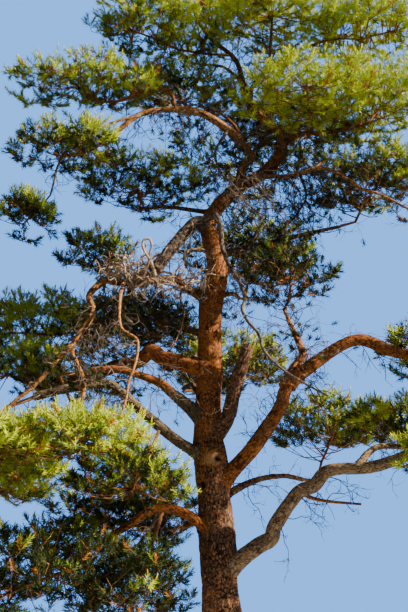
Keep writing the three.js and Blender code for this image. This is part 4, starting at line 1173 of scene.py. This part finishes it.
# Longer twigs that hang in thickets from some limbs
thickets = [  # limb, shares of it, twigs, length, droop, share of twig ends with a tuft of needles
    ["trunk", 0.83, 0.99, 34, 1.15, 0.3, 0.55],
    ["cross_limb", 0.02, 0.5, 26, 1.0, 0.3, 0.6],
    ["crown_left_bough", 0.15, 0.75, 26, 0.8, 0.12, 0.35],
    ["leader", 0.05, 0.7, 30, 0.9, 0.0, 0.3],
    ["crown_right_bough", 0.05, 0.9, 22, 0.8, 0.05, 0.3],
    ["pale_hanging_limb", 0.3, 0.95, 16, 0.7, 0.25, 0.3],
    ["cross_low_fork", 0.2, 0.95, 18, 0.8, 0.2, 0.6],
    ["back_high_bough", 0.1, 0.8, 16, 0.9, 0.2, 0.6],
    ["left_thick_bough", 0.4, 0.97, 14, 0.75, 0.2, 0.8],
    ["left_orange_bough", 0.4, 0.95, 10, 0.7, 0.25, 0.8],
    ["left_grey_bough", 0.5, 0.95, 9, 0.7, 0.25, 0.6],
    ["inner_drop_limb", 0.1, 0.97, 40, 0.75, 0.1, 0.7],
    ["elbow_outer_bough", 0.2, 0.95, 22, 0.7, 0.3, 0.1],
    ["left_behind_bough", 0.2, 0.9, 26, 0.9, 0.12, 0.7],
    ["right_rising_bough", 0.2, 0.62, 40, 0.42, 0.05, 0.0],
    ["right_middle_bough", 0.05, 0.6, 26, 1.0, 0.35, 0.6],
    ["right_spur", 0.2, 0.97, 18, 0.7, 0.1, 0.5],
    ["hanging_dead_bough", 0.25, 0.75, 14, 0.5, 0.1, 0.2],
]
hanging, tuftFeet, tuftAheads = [], [], []
for limbName, shareLow, shareHigh, twigCount, long, droop, tufted in thickets:
    share, place, ahead, out = strewnOn(limbs[limbName], shareLow, shareHigh, twigCount)
    length = long * rng.uniform(0.5, 1.1, twigCount)
    twigs, before, end = bareTwigs(place, unit(out + ahead * 0.4), length, 0.005 + 0.005 * length, 6, droop,
                                   0.42)
    hanging.append(twigs)
    chosen = rng.random(len(end)) < tufted
    tuftFeet.append(end[chosen])
    tuftAheads.append(unit(end - before)[chosen])
makePiece("hangingTwigs", *joinArrays(hanging), deadTwigMaterial, "dead_wood")
tuftFeet, tuftAheads = np.concatenate(tuftFeet), np.concatenate(tuftAheads)
tuftTips = tuftFeet + unit(tuftAheads + upward * 0.4) * rng.uniform(0.07, 0.11, (len(tuftFeet), 1))
freeTufts = ~nearLimb(tuftTips, 0.03)
tuftFeet, tuftTips = tuftFeet[freeTufts], tuftTips[freeTufts]
makePiece("tuftShoots", *coneArrays(tuftFeet, tuftTips, foliageLook["shootRadius"]), twigMaterial, "bark",
          smooth=False)
# the tufts' needles all take the painted shade green of the Deep needles
makePiece("tuftNeedles", *needleArrays(tuftFeet, tuftTips), needleMaterials["Deep"], "needles", smooth=False)
print("stage: tufts made", len(tuftFeet))

# The nest of dead wood: heavy crooked limbs and forking twigs from the elbow bough, aimed into two clumps,
# and one limb that bends back on itself in a narrow loop
nestLook = {
    "long": 0.7, "twigRadius": 0.0115, "limbRadii": (0.021, 0.008), "loopRadii": (0.02, 0.015),
    "clumps": [  # middle, half sizes, shares of the bough, twigs, heavy limbs
        [(-1.34, -0.6, 6.56), (0.34, 0.3, 0.5), (0.5, 0.97), 62, 26],
        [(-0.56, -0.6, 6.14), (0.2, 0.2, 0.26), (0.12, 0.42), 22, 9],
    ],
    "loop": [[-1.0, -0.54, 6.05], [-1.06, -0.62, 6.22], [-1.13, -0.67, 6.32], [-1.17, -0.69, 6.42],
             [-1.15, -0.7, 6.5], [-1.08, -0.7, 6.51], [-1.05, -0.68, 6.42], [-1.08, -0.64, 6.3],
             [-1.04, -0.57, 6.14]],
}


def clumpArrays(middle, half, shares, twigs, heavy):  # twigs and heavy limbs aimed at points of one clump
    root = placeAt(limbs["elbow_inner_bough"]["path"], rng.uniform(*shares, twigs + heavy))
    ahead = unit(np.array(middle) + rng.uniform(-1, 1, (twigs + heavy, 3)) * half - root)
    reach = rng.uniform(0.6, 1.1, twigs + heavy) * nestLook["long"]
    forked = bareTwigs(root[heavy:], ahead[heavy:], reach[heavy:], np.full(twigs, nestLook["twigRadius"]), 7,
                       0.06, 0.5, (2, 2))[0]
    walks = crookedWalks(root[:heavy], ahead[:heavy], reach[:heavy] * 1.2, 9, 0.03, 0.6)
    walkRadii = np.tile(np.linspace(*nestLook["limbRadii"], 10), (heavy, 1))
    return joinArrays([forked, tubeArrays(walks, walkRadii, 6)])


loopPoints = smoothPath(nestLook["loop"], 6)["points"]
loopTube = tubeArrays(loopPoints[None], np.linspace(*nestLook["loopRadii"], len(loopPoints))[None], 8)
clumps = [clumpArrays(*row) for row in nestLook["clumps"]]
weatheredMaterial = plainMaterial("weatheredTwigs", (0.74, 0.57, 0.4), (0.3, 0.2, 0.13), 0.9, 12.0)
makePiece("deadTangle", *joinArrays([*clumps, loopTube]), weatheredMaterial, "dead_wood", ["dead_tangle"])
print("stage: bare twigs made")


stageLook = {
    "floor": (0.36, 0.37, 0.38), "floorRadius": 8, "floorCorners": 64, "floorDrop": 0.002,
    "backdrop": (0.13, 0.4, 1.0), "backdropStrength": 1.75,
    "ambient": (0.6, 0.73, 1.0), "ambientStrength": 0.22,
    "sunStrength": 14.5, "sunColour": (1.0, 0.87, 0.68), "sunFrom": (1.0, -0.19, 0.57), "sunSoft": 0.03,
}

floorMesh = bpy.data.meshes.new("floor")
rimAngle = np.linspace(0, fullTurn, stageLook["floorCorners"], endpoint=False)
rim = np.stack([np.cos(rimAngle) * stageLook["floorRadius"], np.sin(rimAngle) * stageLook["floorRadius"],
                np.full(len(rimAngle), -stageLook["floorDrop"])], axis=1)
floorMesh.from_pydata(rim.tolist(), [], [list(range(len(rim)))])
floor = bpy.data.objects.new("floor", floorMesh)
bpy.context.scene.collection.objects.link(floor)
floorMaterial = bpy.data.materials.new("paleFloor")
floorMaterial.use_nodes = True
floorShader = floorMaterial.node_tree.nodes["Principled BSDF"]
floorShader.inputs["Base Color"].default_value = (*stageLook["floor"], 1)
floorShader.inputs["Roughness"].default_value = 0.9
floorMesh.materials.append(floorMaterial)

world = bpy.data.worlds.new("paleStudio")
bpy.context.scene.world = world
world.use_nodes = True
worldTree = world.node_tree
worldTree.nodes.clear()
worldMix = addNode(worldTree, "ShaderNodeMixShader")  # camera rays see the backdrop, all others the ambient
for socket, lightName in ((1, "ambient"), (2, "backdrop")):
    background = addNode(worldTree, "ShaderNodeBackground")
    background.inputs["Color"].default_value = (*stageLook[lightName], 1)
    background.inputs["Strength"].default_value = stageLook[lightName + "Strength"]
    worldTree.links.new(background.outputs[0], worldMix.inputs[socket])
rays = addNode(worldTree, "ShaderNodeLightPath")
worldTree.links.new(rays.outputs["Is Camera Ray"], worldMix.inputs[0])
worldOutput = addNode(worldTree, "ShaderNodeOutputWorld")
worldTree.links.new(worldMix.outputs[0], worldOutput.inputs["Surface"])

sunData = bpy.data.lights.new("keyLight", "SUN")
sunData.energy = stageLook["sunStrength"]
sunData.color = stageLook["sunColour"]
sunData.angle = stageLook["sunSoft"]
sun = bpy.data.objects.new("keyLight", sunData)
sun.rotation_mode = "QUATERNION"
sun.rotation_quaternion = Vector(stageLook["sunFrom"]).to_track_quat("Z", "Y")
bpy.context.scene.collection.objects.link(sun)

cameraLook = {"place": (-0.35, -11.0, 1.6), "climb": 21, "lens": 50, "sensor": 36, "seesTo": 200}
cameraData = bpy.data.cameras.new("camera")
cameraData.lens = cameraLook["lens"]
cameraData.sensor_width = cameraLook["sensor"]
cameraData.clip_end = cameraLook["seesTo"]
camera = bpy.data.objects.new("camera", cameraData)
camera.location = cameraLook["place"]
camera.rotation_euler = (math.radians(90 + cameraLook["climb"]), 0, 0)
bpy.context.scene.collection.objects.link(camera)
bpy.context.scene.camera = camera
